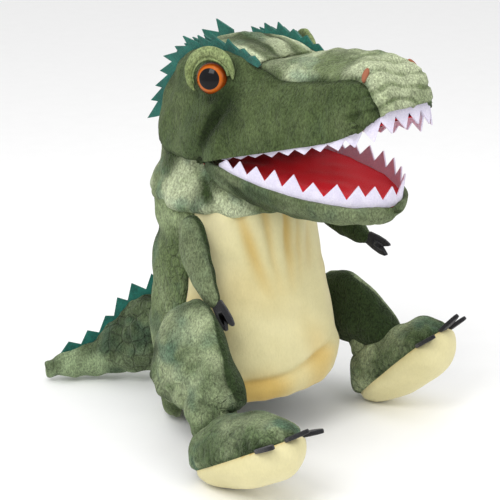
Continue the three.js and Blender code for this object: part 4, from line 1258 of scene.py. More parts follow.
@dataclass
class Head:
    """The head: two side panels, a marbled top between the crests, and the snout."""

    pile: float = 2.6
    pitch: float = 15.0
    length: float = 131.0
    half_width: float = 44.0
    high: float = 53.5
    lip_rise: float = 12.0
    nose_back: float = 19.0
    crown_low: float = 168.7
    crown_high: float = 86.0
    eye: tuple[float, float, float] = (41.5, 18.0, 48.5)
    eye_turn: float = 66.0
    eye_radius: float = 9.75
    eye_dome: float = 7.0
    blend: float = 6.0

    WIDTH = ((0, 1), (0.29, 0.96), (0.57, 0.87), (0.79, 0.78), (0.93, 0.68), (0.985, 0.56), (1, 0.5))
    TOP = ((0, 0.9), (0.29, 0.9), (0.54, 0.96), (0.67, 0.93), (0.79, 0.88), (0.93, 0.79), (0.985, 0.7), (1, 0.64))
    LIP = ((0, 0), (0.68, 0), (0.89, 0.4), (0.97, 0.8), (1, 1))
    CROWN = (
        (0, 0.98, 0.99, 0), (0.25, 1, 1, 0), (0.47, 0.97, 0.97, 0.1), (0.67, 0.88, 0.88, 0.35),
        (0.83, 0.7, 0.72, 0.65), (0.94, 0.45, 0.47, 0.9), (1, 0.14, 0.14, 1),
    )
    SEAM = (
        (0, 62), (0.25, 64), (0.5, 66), (0.8, 67), (1.0, 67), (1.15, 66), (1.3, 64), (1.42, 60), (1.55, 54),
        (1.86, 51), (2.0, 50), (2.2, 46), (2.4, 38), (2.6, 33), (3.0, 32),
    )
    RAY = (4.0, 104.0, 2.5)
    BROW = ((25, 50, 47), (29, 32, 58), (30, 8, 68), (29, -16, 66))
    # The creases here with a tone below 0 carry painted shade.
    MARKS = (
        Mark(((43, 33, 38), (44, 27, 31), (44, 18, 24), (45, 9, 16), (45, 2, 8), (45, -3, 2)), -4.2, 2.6, -1.4, 3.0),
        Mark(((43, 24, 40), (44, 18, 33), (44, 9, 26), (45, 0, 18), (45, -7, 10), (45, -12, 4)), 2.4, 6),
        Mark(((43, 43, 36), (44, 37, 29), (44, 28, 22), (45, 19, 14), (45, 12, 6), (45, 7, 0)), 2.0, 7),
        Mark(((44, 12, 12), (45, 6, 8), (45, 1, 2)), -1.4, 2.2, -0.5, 2.4),
        Mark(((42, 38, 44), (43, 30, 38), (43, 18, 36), (42, 5, 37)), -1.1, 2.2, -0.45, 2.6),
        Mark(((34, 50, 46), (35, 60, 40), (36, 72, 36)), -1.2, 3.0),
        Mark(((33, 113, 12), (33, 116, 13)), -2.4, 3.0, -0.9, 2.6),
    )
    CREST_LAYERS = (((0, 1), 10.0, 10.0), ((0.02, 0.6), 7.5, 8.0))
    NOSTRIL = (21.0, 118.5, 33.5)

    @property
    def middle(self) -> Array:
        """A point deep inside the head."""
        return np.array([0, 8, 205.0])

    def upper(self, x: Array | float, along: Array | float, up: Array | float) -> Array:
        """A point in the upper jaw's own frame, which tips back about the hinge, as a point of the sewing frame."""
        c, s = np.cos(np.radians(self.pitch)), np.sin(np.radians(self.pitch))
        x, along, up = np.broadcast_arrays(np.asarray(x, float), along, up)
        return HINGE + np.stack([x, -along * c + up * s, along * s + up * c], -1)

    def in_upper(self, points: Array) -> tuple[Array, Array, Array]:
        """Sewing frame points in the upper jaw's own frame, as x, along and up."""
        c, s = np.cos(np.radians(self.pitch)), np.sin(np.radians(self.pitch))
        y, z = points[..., 1] - HINGE[1], points[..., 2] - HINGE[2]
        return points[..., 0], -y * c + z * s, y * s + z * c

    def lip(self, share: Array | float) -> Array:
        """How far the lip rises at a share of the snout's length."""
        return self.lip_rise * curve(self.LIP, share)

    def snout_half(self, share: Array | float) -> Array:
        """The snout's half width at a share of its length."""
        return self.half_width * curve(self.WIDTH, share)

    def depth(self, points: Array) -> Array:
        """About how far outside the head each point is, below 0 inside.

        The crown is a stack of squared ellipses and the snout a row of squared arches. They are joined by a soft
        minimum, the logarithm of a sum of exponentials, and swell along each brow and round each eye.

        Args:
            points: places in the sewing frame.

        Returns:
            The distances.
        """
        x, along, up = self.in_upper(points)
        t = (points[..., 2] - self.crown_low) / self.crown_high
        wide, deep = 46 * curve(self.CROWN, t, 1), 49 * curve(self.CROWN, t, 2)
        y = points[..., 1] - 19 + 16 * curve(self.CROWN, t, 3)
        crown = ((np.abs(x) / wide) ** 2.1 + (np.abs(y) / deep) ** 2.1) ** (1 / 2.1) - 1
        crown = np.maximum(crown * np.minimum(wide, deep), (t - 1) * self.crown_high)
        share = along / self.length
        half, lip = self.snout_half(share), self.lip(share)
        top = self.high * curve(self.TOP, share) - lip
        arch = ((np.abs(x) / half) ** 2.5 + (np.abs(up - lip) / top) ** 2.5) ** (1 / 2.5) - 1
        snout = arch * np.minimum(half, top)
        nose = along - (self.length + 1.5 - 9 * np.clip((up - lip) / top, 0, 1) ** 1.5)
        snout = 2.5 * np.logaddexp(snout / 2.5, nose / 2.5)
        snout = np.maximum(snout, -along - 6)
        total = -self.blend * np.logaddexp(-crown / self.blend, -snout / self.blend)
        for side in (-1, 1):
            brow = self.mirrored(self.BROW, side)
            total -= 6.5 * bell(away_from(points, brow), 10.5)
            socket = self.upper(side * (self.eye[0] - 3), *self.eye[1:])
            total -= 3.0 * bell(np.linalg.norm(points - socket, axis=-1), 17)
        return total

    def spot(self, s: Array, turn: Array) -> Array:
        """The head's surface by two parameters.

        A half plane swings up about the hinge as s goes from 0 to 1, slides along the lip to s = 2, and swings
        round the nose to s = 3. In it a ray leaves the lip line at angle turn, from the right side over the top
        to the left, and the surface is where the ray leaves the head for good.

        Args:
            s: where along the head.
            turn: the ray's angle in radians, from 0 to pi.

        Returns:
            The points.
        """
        back = np.clip(s, 0, 1)
        slide = np.clip(s - 1, 0, 1) * (self.length - self.nose_back)
        round_nose = np.clip(s - 2, 0, 1) * 90
        lean = np.radians(back * (90 - self.pitch) + round_nose)
        ahead = np.stack([0 * lean, np.cos(lean), np.sin(lean)], -1)
        start = self.upper(0, slide, self.lip(slide / self.length))
        lipped = smoothstep(s, 2, 3) * (self.lip(1.0) - self.lip(1 - self.nose_back / self.length))
        start = start + lipped[..., None] * (self.upper(0, 0, 1) - HINGE)
        ray = -np.cos(turn)[..., None] * SIDEWAYS + np.sin(turn)[..., None] * ahead
        near, far, stride = self.RAY
        reach = np.full(s.shape, near)
        for step in np.arange(near, far, stride):
            inside = self.depth(start + step * ray) < 0
            reach = np.where(inside, step, reach)
        low, high = reach, reach + stride
        for _ in range(9):
            guess = (low + high) / 2
            inside = self.depth(start + guess[..., None] * ray) < 0
            low, high = np.where(inside, guess, low), np.where(inside, high, guess)
        points = start + low[..., None] * ray
        drop = self.in_upper(start)[2] - self.lip(self.in_upper(points)[1] / self.length)
        return points - (np.clip(s - 2, 0, 1) ** 2 * drop)[..., None] * (self.upper(0, 0, 1) - HINGE)

    def seam(self, s: Array) -> Array:
        """The angle of the seam between the side panel and the top, in radians from the side."""
        return np.radians(curve(self.SEAM, s))

    def mirrored(self, line: Table, side: int) -> Array:
        """A line given on the left side in the upper jaw's frame, on either side, in the sewing frame."""
        rows = np.array(line, float)
        return self.upper(side * rows[:, 0], rows[:, 1], rows[:, 2])

    def modelling(self, points: Array) -> tuple[Array, Array]:
        """Creases and swellings that both side panels and the top share.

        Args:
            points: the panel's grid.

        Returns:
            How far each point stands out, and its tone, with painted shade along the creases.
        """
        rise = 0.6 * lumps(points, 34, 41) + 0.3 * lumps(points, 13, 42)
        tones = 0.28 * lumps(points, 45, 43)
        for side in (-1, 1):
            for mark in self.MARKS:
                out, shade = mark.press(points, self.mirrored(mark.line, side))
                rise, tones = rise + out, tones + shade
        return rise, tones

    def wrinkles(self, points: Array) -> tuple[Array, Array]:
        """Fine folds across the nose, strongest towards its front, with painted shade in their hollows."""
        x, along, up = self.in_upper(points)
        front = smoothstep(along, 96, 128)
        ripple = np.sin((up + 3.0 * np.sin(x / 9) + 0.6 * lumps(points, 22, 51)) * 2 * np.pi / 8.5)
        sharp = np.clip(-ripple - 0.35, 0, 1) * front
        return -1.7 * sharp, -0.6 * sharp

    def panel(self, name: str, s: Array, start: Array, end: Array, columns: int, seams: str) -> tuple[Array, Array]:
        """Compute one panel's grid between two angles, with its creases, lumps and sunk seams.

        Args:
            name: the panel's name, for the log.
            s: its rows' places along the head.
            start: each row's first angle.
            end: each row's last angle.
            columns: how many points a row has.
            seams: which edges are sunk, as in tuck_edges.

        Returns:
            The grid and its tones, with painted shade in the creases and the sunk seams.
        """
        share = shares(columns)[None, :]
        turn = start[:, None] * (1 - share) + end[:, None] * share
        points = self.spot(np.broadcast_to(s[:, None], turn.shape), turn)
        normals = facing(points, False, self.middle)
        rise, tones = self.modelling(points)
        folds, shades = self.wrinkles(points)
        points = points + (rise + folds)[..., None] * normals
        points, sunk = tuck_edges(points, normals, 1.5, 2.3, seams)
        LOG.info("%s: %d by %d", name, *points.shape[:2])
        # Painted shade in the sunk seams.
        return points, tones + shades - 0.5 * sunk

    def skins(self) -> None:
        """Make the side panels, the crown's band and the snout's top."""
        s = np.concatenate([shares(64), np.linspace(1, 2, 72)[1:], np.linspace(2, 3, 34)[1:]])
        for side in Side:
            low, high = np.zeros_like(s), self.seam(s)
            if side is Side.LEFT:
                low, high = np.pi - high, np.pi - low
            seams = "r" if side is Side.RIGHT else "l"
            points, tones = self.panel(side.word, s, low, high, 74, seams + "t")
            # Painted shade: the right side panel is drawn a little darker than the left.
            if side is Side.RIGHT:
                tones = tones - 0.1
            piece = shell(f"head_side_{side.word}", points, self.pile, self.middle, tones=tones)
            nodes = [f"{part}_{side.word}" for part in ("snout_side", "face", "brow")]
            dress(piece, "head", SIDE, nodes)
        parted = 1.4
        for name, s, nodes in (
            ("crown_band", np.linspace(0, parted, 90), ["crown_panel"]),
            ("snout_skin", np.concatenate([np.linspace(parted, 2, 46), np.linspace(2, 3, 34)[1:]]), ["snout_top"]),
        ):
            points, tones = self.panel(name, s, self.seam(s), np.pi - self.seam(s), 110, "lrt")
            x, along, up = self.in_upper(points)
            if s[0] == 0:
                valley = bell(np.abs(x) - 12, 4.5) * smoothstep(along, -28, 10)
                inner = self.upper(0, along, up - 1)
                points = points + (3.0 * valley)[..., None] * unit(inner - points)
                rim = bell(np.abs(x) - 24, 3.5) * smoothstep(along, -30, 0)
                # Painted shade in the sunk valley beside each crest.
                tones = tones + 0.1 - 1.0 * valley + 0.7 * rim
            else:
                tones = tones + 0.55 * smoothstep(along, 92, 118) - 0.35 * bell(along - 88, 10)
            piece = shell(name, points, self.pile, self.middle, tones=tones)
            dress(piece, "head", MARBLED, nodes)

    def crest_line(self, side: Side) -> tuple[Array, Array, Array]:
        """Points, outward directions and headings along the seam over the brow, from front to back."""
        s = np.linspace(1.42, 0.12, 60)
        turn = self.seam(s) if side is Side.RIGHT else np.pi - self.seam(s)
        points = self.spot(s, turn)
        outer = unit((points - self.upper(side.value * 14, 2, 26)) * np.array([0.45, 1, 1]))
        return points, outer, unit(np.gradient(points, axis=0))

    def crests(self) -> None:
        """Make the layered felt crest over each brow and the one down the middle of the head."""
        for side in Side:
            points, outer, heading = self.crest_line(side)
            path = Path(points[::6])
            strips = []
            for layer, (span, tall, pitch) in enumerate(self.CREST_LAYERS):
                places, heights = saw(path, span, pitch, 60 + layer + side.value, 0.3)
                base = path.at(places)
                nearest = np.clip((places * (len(points) - 1)).round().astype(int), 0, len(points) - 1)
                out, ahead = outer[nearest], heading[nearest]
                sideways = unit(np.cross(out, ahead))
                base = base - 2.0 * out + sideways * layer * 1.7 * np.sign(sideways[:, :1])
                lean = np.where(np.arange(len(places)) % 2, 4.5, 0.0)[:, None] * ahead
                grown = tall * np.interp(places, [0, 0.15, 0.35, 1], [0.3, 0.55, 1, 1])
                tops = base + out * (grown * heights + 2)[:, None] + lean * grown[:, None] / tall
                strips.append((base, tops, sideways))
            for layer, (base, tops, sideways) in enumerate(strips):
                name = f"brow_crest_felt_{side.word}" + ("_under" if layer else "")
                nodes = [] if layer else [f"brow_crest_{side.word}"]
                dress(felt_strip(name, base, tops, sideways, FELT), "head", TEAL, nodes)
        s = np.linspace(1.02, 0.04, 40)
        points = self.spot(s, np.full_like(s, np.pi / 2))
        path = Path(points[::5])
        places, heights = saw(path, (0, 1), 12, 71)
        base = path.at(places)
        heading = path.heading(places)
        out = unit(base - np.array([0, 8, 200.0]))
        tall = np.interp(places, [0, 0.12, 0.3, 1], [9, 13, 9, 8])[:, None]
        tops = base + out * tall * heights[:, None] + heading * 6.5 * (np.arange(len(places)) % 2)[:, None]
        across = np.tile([1.0, 0, 0], (len(base), 1))
        piece = felt_strip("head_crest_felt", base - out * 2.5, tops, across, FELT)
        dress(piece, "head", TEAL, ["head_crest"])

    def eye_frame(self, side: Side) -> tuple[Array, Array]:
        """The middle of an eye's flat back, and its frame's three directions, the third out of the dome."""
        x, along, up = self.eye
        tip = turn_x(-self.pitch) @ turn_z(side.value * (self.eye_turn - 90))
        out = tip @ np.array([side.value, 0, 0.0])
        over = tip @ UP
        return self.upper(side.value * x, along, up), np.stack([np.cross(over, out), over, out])

    def eyes(self) -> None:
        """Make the domes, the lids over them and the lime fold round each lid."""
        for side in Side:
            centre, axes = self.eye_frame(side)
            rise, turn = grid(np.linspace(-0.14, np.pi / 2, 30), circle(64))
            out = self.eye_radius * np.cos(rise)
            dome = np.where(rise > 0, self.eye_dome * np.sin(rise), self.eye_radius * 1.2 * np.sin(rise))
            local = np.stack([out * np.cos(turn), out * np.sin(turn), dome], -1)
            share = np.where(rise > 0, np.cos(rise), 1.0)
            piece = closed(f"eye_dome_{side.word}", centre + local @ axes, share)
            dress(piece, "head", EYE, [f"eye_{side.word}"])
            self.eyelid(side, centre, axes)

    def eyelid(self, side: Side, centre: Array, axes: Array) -> None:
        """Make a lid: a fold of cloth on an arc over the dome, thick over the top and thin at its corners."""
        t, turn = grid(shares(70), circle(24))
        sweep = np.radians(-22 + 214 * t)
        fat = curve(((0, 0.4), (0.12, 1.6), (0.4, 2.4), (0.7, 2.4), (0.9, 1.6), (1, 0.4)), t)
        radius = 13.2 + 2.2 * np.sin(np.pi * t)
        ring = radius + fat * 1.25 * np.cos(turn)
        lift = 1.2 + 1.8 * np.sin(np.pi * t) + fat * np.sin(turn) * 1.1
        across = np.cos(sweep) * ring * (-1 if side is Side.RIGHT else 1)
        local = np.stack([across, np.sin(sweep) * ring * 1.06, lift], -1)
        points = centre + local @ axes
        points = points + 0.25 * lumps(points, 9, 81)[..., None] * axes[2]
        # Painted light and shade: the fold's outward side is drawn paler and its inner side darker.
        tones = 0.5 * np.sin(turn) - 0.25
        piece = closed(f"lid_fold_{side.word}", points, tones)
        dress(piece, "head", LIME, [f"eyelid_{side.word}"])
        u, v = grid(shares(40), shares(14))
        sweep = np.radians(-8 + 190 * u)
        ring = 10.6 + (1.2 + 2.6 * np.sin(np.pi * u)) * v
        lift = 3.4 - 2.2 * v**2 + 0.8 * np.sin(np.pi * u)
        across = np.cos(sweep) * ring * (-1 if side is Side.RIGHT else 1)
        local = np.stack([across, np.sin(sweep) * ring, lift], -1)
        points = centre + local @ axes
        # Painted shadow: a dark band along the lid cloth's edge next to the dome.
        piece = shell(f"lid_cloth_{side.word}", points, CLOTH, centre - 20 * axes[2], tones=0.2 - 1.2 * (v < 0.2))
        dress(piece, "head", LIME)

    def nostrils(self) -> None:
        """Make the stitched nostrils, thin pads of thread on the nose's skin."""
        for side in Side:
            out, turn = grid(np.linspace(1, 0.05, 8), circle(30))
            goal = self.upper(side.value * self.NOSTRIL[0], *self.NOSTRIL[1:])
            s, ray = grid(np.linspace(1.8, 2.9, 60), np.linspace(0.3, np.pi - 0.3, 90))
            skin = self.spot(s, ray)
            hit = np.unravel_index(np.linalg.norm(skin - goal, axis=-1).argmin(), s.shape)
            normals = facing(skin, False, self.middle)
            normal = unit(normals[hit])
            long = unit(np.cross(normal, self.upper(0, 1, 0) - HINGE))
            wide = np.cross(long, normal)
            local = 4.8 * (out * np.sin(turn))[..., None] * long + 1.8 * (out * np.cos(turn))[..., None] * wide
            dome = skin[hit] + local + (1.5 * np.sqrt(np.clip(1 - out**2, 0, 1)) - 0.4)[..., None] * normal
            base = skin[hit] + local[:1] - 1.8 * normal
            piece = closed(f"nostril_stitch_{side.word}", np.concatenate([base, dome]))
            dress(piece, "head", STITCH, [f"nostril_{side.word}"])

    def build(self) -> None:
        """Make every piece of the head but its mouth."""
        self.skins()
        self.crests()
        self.eyes()
        self.nostrils()
        for side in Side:
            paint(frame["nodes"][f"eye_washer_{side.word}"], WASHER)


# --- the mouth


@dataclass
class Mouth:
    """Both jaws' insides, their felt teeth, and the lower jaw's skin."""

    head: Head
    length: float = 115.0
    half_width: float = 48.0
    deep: float = 22.0
    pitch: float = 8.0
    pile: float = 3.0

    WIDTH = ((0, 0.88), (0.15, 0.96), (0.35, 1), (0.52, 0.97), (0.7, 0.86), (0.86, 0.63), (0.95, 0.4), (1, 0.16))
    DEPTH = ((0, 1), (0.3, 1), (0.55, 0.86), (0.75, 0.66), (0.93, 0.5), (1, 0.36))
    UPPER_TALL = ((0, 2), (0.1, 3.2), (0.3, 5.5), (0.38, 11.5), (0.62, 11.5), (0.7, 5.5), (0.9, 3.2), (1, 2))
    LOWER_TALL = ((0, 5), (0.08, 9), (0.2, 12.5), (0.8, 12.5), (0.92, 9), (1, 5))
    # Creases of the jaw's skin, each with painted shade along it.
    CREASES = tuple(
        Mark(((46, *start), (46, *end)), -1.3, 2.4, -0.5, 2.6)
        for start, end in (((4, -3), (34, -9)), ((8, -8), (40, -15)), ((2, -12), (24, -19)), ((40, -4), (72, -7)))
    )

    def lower(self, x: Array | float, along: Array | float, up: Array | float) -> Array:
        """A point in the lower jaw's own frame, which hangs forward from the hinge."""
        c, s = np.cos(np.radians(self.pitch)), np.sin(np.radians(self.pitch))
        x, along, up = np.broadcast_arrays(np.asarray(x, float), along, up)
        return HINGE + np.stack([x, -along * c - up * s, -along * s + up * c], -1)

    def half(self, share: Array | float) -> Array:
        """The jaw's half width at a share of its length, rounded off at the chin."""
        return self.half_width * curve(self.WIDTH, share)

    def skin(self) -> None:
        """Make the lower jaw's outer skin.

        A half plane swings about the hinge from behind to below, slides along to the chin and swings round it.
        In it the outline is a squared arch from lip to lip; at the chin its ends draw in to the middle.
        """
        s = np.concatenate([shares(20), np.linspace(1, 2, 80)[1:]])
        turn = np.linspace(0, np.pi, 120)
        s, turn = grid(s, turn)
        back = np.radians(-75 + 75 * np.clip(s, 0, 1))
        share = np.clip(s - 1, 0, 1)
        along = self.length * (1 - (1 - share) ** 1.35)
        cap = np.sqrt(np.clip(1 - np.clip((along - self.length + 9) / 9, 0, 1) ** 2, 0, 1))
        half = self.half(along / self.length) * np.interp(s, [0, 1], [0.94, 1]) * cap**0.4
        deep = (self.deep * curve(self.DEPTH, along / self.length) + 2.5) * (0.15 + 0.85 * cap)
        x = -half * power(np.cos(turn), 2 / 2.4)
        hang = deep * power(np.sin(turn), 2 / 2.4)
        points = self.lower(x, along + hang * np.sin(back), -hang * np.cos(back))
        middle = self.lower(0, 45, 4)
        normals = facing(points, False, middle)
        rise = 0.5 * lumps(points, 26, 91) + 0.3 * lumps(points, 11, 92)
        tones = 0.3 * lumps(points, 34, 93)
        for mark in self.CREASES:
            for side in (-1, 1):
                line = self.lower(*(np.array(mark.line, float) * (side, 1, 1)).T)
                out, shade = mark.press(points, line)
                rise, tones = rise + out, tones + shade
        points = points + (rise * np.sin(turn) ** 0.6)[..., None] * normals
        piece = shell("jaw_skin_panel", points, self.pile, middle, tones=tones)
        dress(piece, "jaw", JAWS, ["jaw_skin"])

    def cloth(
        self, name: str, frame_of: Callable, half_at: Callable, length: float, level: float, sag: float,
        body: str, node: str,
    ) -> None:
        """Make a jaw's red cloth: a grid from the throat to the tip that dips or domes between its lips.

        Args:
            name: the piece's name.
            frame_of: takes x, along and up in the jaw's frame to the sewing frame.
            half_at: the cloth's half width at a share of its length.
            length: its length.
            level: how high it stands over the lip line.
            sag: how far its middle dips; below 0 it domes.
            body: the body that it rides on.
            node: the solid that it stands for.
        """
        rows, columns = 70, 60
        t, w = grid(shares(rows), np.linspace(-1, 1, columns))
        along = -3 + (length + 3) * (1 - (1 - t) ** 1.3)
        half = np.maximum(half_at(np.clip(along / length, 0, 1)), 2.0)
        x = half * w
        up = level - sag * (1 - w**2) * np.sin(np.pi * np.clip(t * 0.9 + 0.08, 0, 1))
        points = frame_of(x, along, up)
        points[..., 2] += 0.35 * lumps(points, 19, 95)
        # Painted shade: the cloth darkens towards the throat.
        tones = -1.0 * smoothstep(-along, -46, 0)
        sign = 1 if sag > 0 else -1
        piece = shell(name, points, CLOTH, frame_of(0.0, length / 2, level - 60 * sign), tones=tones)
        long = float(along[-1, 0] - along[0, 0]) / 1000
        dress(piece, body, RED, [node])

    def teeth(
        self, name: str, path: Path, span: tuple[float, float], pitch: float, tall: Table, away: Array, body: str,
        node: str, seed: int,
    ) -> None:
        """Make a strip of felt teeth along a lip.

        Args:
            name: the piece's name.
            path: the line of the lip.
            span: where on it the strip starts and ends.
            pitch: the length of a tooth.
            tall: how tall the teeth are at shares of the path.
            away: the direction from the lip to the tips.
            body: the body that the strip rides on.
            node: the solid that it stands for.
            seed: which of the uneven patterns to take.
        """
        places, heights = saw(path, span, pitch, seed)
        base = path.at(places)
        across = np.cross(path.heading(places), away)
        grown = np.interp(places, *np.array(tall).T)
        splay = unit(across) * 0.6
        if splay[len(splay) // 4] @ (base[len(base) // 4] - base.mean(0)) < 0:
            splay = -splay
        tops = base + away * (grown * heights)[:, None] + splay * heights[:, None]
        dress(felt_strip(name, base - away * 1.5, tops, across, FELT, 0.3), body, WHITE, [node])

    def lip_path(self, frame_of: Callable, half_at: Callable, length: float, level: Callable) -> Path:
        """The line just inside a lip, from the right corner round the tip to the left one."""
        share = np.array([0.08, 0.2, 0.32, 0.44, 0.56, 0.68, 0.79, 0.88, 0.945, 0.98])
        half = half_at(share) - 2.6
        right = frame_of(-half, share * length - 3.4 * share, level(share))
        left = frame_of(half, share * length - 3.4 * share, level(share))[::-1]
        tip = frame_of(np.array([0.0]), np.array([length - 3.6]), level(np.array([1.0])))
        return Path(np.concatenate([right, tip, left]))

    def build(self) -> None:
        """Make every piece of the mouth."""
        head = self.head
        self.skin()
        down = head.upper(0, 0, -1) - HINGE
        up = self.lower(0, 0, 1) - HINGE
        self.cloth(
            "palate_cloth", head.upper, lambda t: head.snout_half(np.clip(t * 0.86, 0, 1)) - 3.6, head.length * 0.86,
            4.3, -0.9, "head", "palate_lining",
        )
        self.cloth(
            "jaw_cloth", self.lower, lambda t: self.half(t) - 3.2, self.length - 3.2, -1.0, 0.6, "jaw", "jaw_lining"
        )
        self.throat()
        upper = self.lip_path(head.upper, head.snout_half, head.length, lambda t: head.lip(t) + 0.6)
        for word, span, seed in (("right", (0, 0.372), 101), ("front", (0.378, 0.622), 102), ("left", (0.628, 1), 103)):
            node = f"upper_teeth_{word}"
            self.teeth(f"upper_felt_{word}", upper, span, 11.5, self.UPPER_TALL, down, "head", node, seed)
        lower = self.lip_path(self.lower, self.half, self.length, lambda t: 0 * t + 0.2)
        for word, span, seed in (("right", (0.01, 0.43), 104), ("left", (0.415, 0.99), 105)):
            node = f"lower_teeth_{word}"
            self.teeth(f"lower_felt_{word}", lower, span, 13.5, self.LOWER_TALL, up, "jaw", node, seed)
        for node in ("palate_board", "jaw_board"):
            paint(frame["nodes"][node], BOARD)
        self.pockets()
        self.fillings()

    def throat(self) -> None:
        """Make the fold of red cloth that joins both jaws' cloths behind the hinge."""
        t, w = grid(shares(24), np.linspace(-1, 1, 40))
        turn = np.radians(100 - 200 * t)
        y = HINGE[1] - 1 + 7.5 * np.cos(turn)
        z = HINGE[2] + 1.6 + 5.6 * np.sin(turn)
        points = np.stack([40.5 * w, y, z], -1)
        points = points + 0.3 * lumps(points, 15, 96)[..., None] * np.array([0, 1.0, 0])
        # Painted shade: the whole fold is drawn dark, deep in the mouth.
        piece = shell("throat_cloth", points, CLOTH, np.array([0, 60.0, 182]), tones=np.full(t.shape, -0.9))
        ends = (point(0, 2, HINGE[2] + 5), point(0, 2, HINGE[2] - 3))
        dress_bending(piece, ends, RED)

    def pockets(self) -> None:
        """Make the finger and thumb pockets: flattened tubes of lining cloth, closed at their front ends."""
        head = self.head
        t, turn = grid(shares(40), circle(60))
        along = 74 * t
        wide = (head.snout_half(along / head.length) - 9.4) * np.sqrt(np.clip(1.02 - t**10, 0, 1))
        tall = 10.2 * np.sqrt(np.clip(1.02 - t**8, 0, 1))
        points = head.upper(wide * power(np.cos(turn), 0.7), along, 20.2 + tall * power(np.sin(turn), 0.7))
        points = points + (0.25 * lumps(points, 14, 97))[..., None] * np.array([0, 0.3, 1.0])
        piece = shell("finger_cloth", points, LINING_CLOTH, head.upper(0, 40, 20), True)
        dress(piece, "head", LINING, FINGER_NODES)
        along = 6 + 53 * t
        share = along / self.length
        wide = (self.half(share) - 24) * np.sqrt(np.clip(1.02 - t**10, 0, 1))
        tall = 5.4 * np.sqrt(np.clip(1.02 - t**8, 0, 1))
        points = self.lower(wide * power(np.cos(turn), 0.8), along, -11.6 + tall * power(np.sin(turn), 0.8))
        piece = shell("thumb_cloth", points, LINING_CLOTH, self.lower(0, 32, -11), True)
        dress(piece, "jaw", LINING, ["thumb_pocket"])

    def fillings(self) -> None:
        """Make the loose fibre in the nose and the chin, a little smaller than the room for it."""
        for node, body, name in (("snout_filling", "head", "nose_fibre"), ("chin_filling", "jaw", "chin_fibre")):
            piece = put(name, frame["nodes"][node].data.copy())
            remesh = piece.modifiers.new("even", "REMESH")
            remesh.mode, remesh.voxel_size = "VOXEL", 0.0025
            smooth = piece.modifiers.new("smooth", "SMOOTH")
            smooth.factor, smooth.iterations = 0.6, 6
            bake(piece)
            points = read_points(piece)
            points = points.mean(0) + 0.8 * (points - points.mean(0))
            write_points(piece, points + (0.35 * lumps(points, 8, 98))[:, None] * read_normals(piece))
            dress(piece, body, FIBRE, [node])


FINGER_NODES = sorted(n for n in frame["nodes"] if n.startswith("finger_pocket"))


# --- limbs


def limb_rings(path: Path, table: Table, wide: float, high: float, over: Array, columns: int = 40) -> Array:
    """Rings of ellipses carried along a path.

    Args:
        path: the limb's middle line.
        table: rows of a share of the path and the shares of both half sizes there.
        wide: the full half width.
        high: the full half height.
        over: the direction that the width is square to.
        columns: how many points a ring has.

    Returns:
        The rings.
    """
    t = shares(40)
    ahead = path.heading(t)
    across = unit(np.cross(ahead, over))
    up = np.cross(across, ahead)
    turn = circle(columns)
    a = (wide * curve(table, t, 1))[:, None, None] * np.cos(turn)[None, :, None] * across[:, None]
    b = (high * curve(table, t, 2))[:, None, None] * np.sin(turn)[None, :, None] * up[:, None]
    return path.at(t)[:, None] + a + b


def felt_claw(name: str, outline: Table, root: Array, axes: tuple[Array, Array, Array], half: float) -> Piece:
    """Make a claw of stiff felt: an outline swept through the thickness, drawn in a little at both faces.

    Args:
        name: the piece's name.
        outline: rows of a share of the claw's length and a distance sideways.
        root: where the claw starts.
        axes: the claw's length as a vector, its sideways direction and the direction of its thickness.
        half: half the felt's thickness.

    Returns:
        The claw.
    """
    rows = np.array(outline, float)
    long, across, over = axes
    flat = root + rows[:, :1] * long + rows[:, 1:] * across
    levels = ((-half, 0.86), (0.2 - half, 0.97), (0, 1.0), (half - 0.2, 0.97), (half, 0.86))
    return closed(name, np.stack([flat + over * lift - (1 - size) * (flat - flat.mean(0)) for lift, size in levels]))


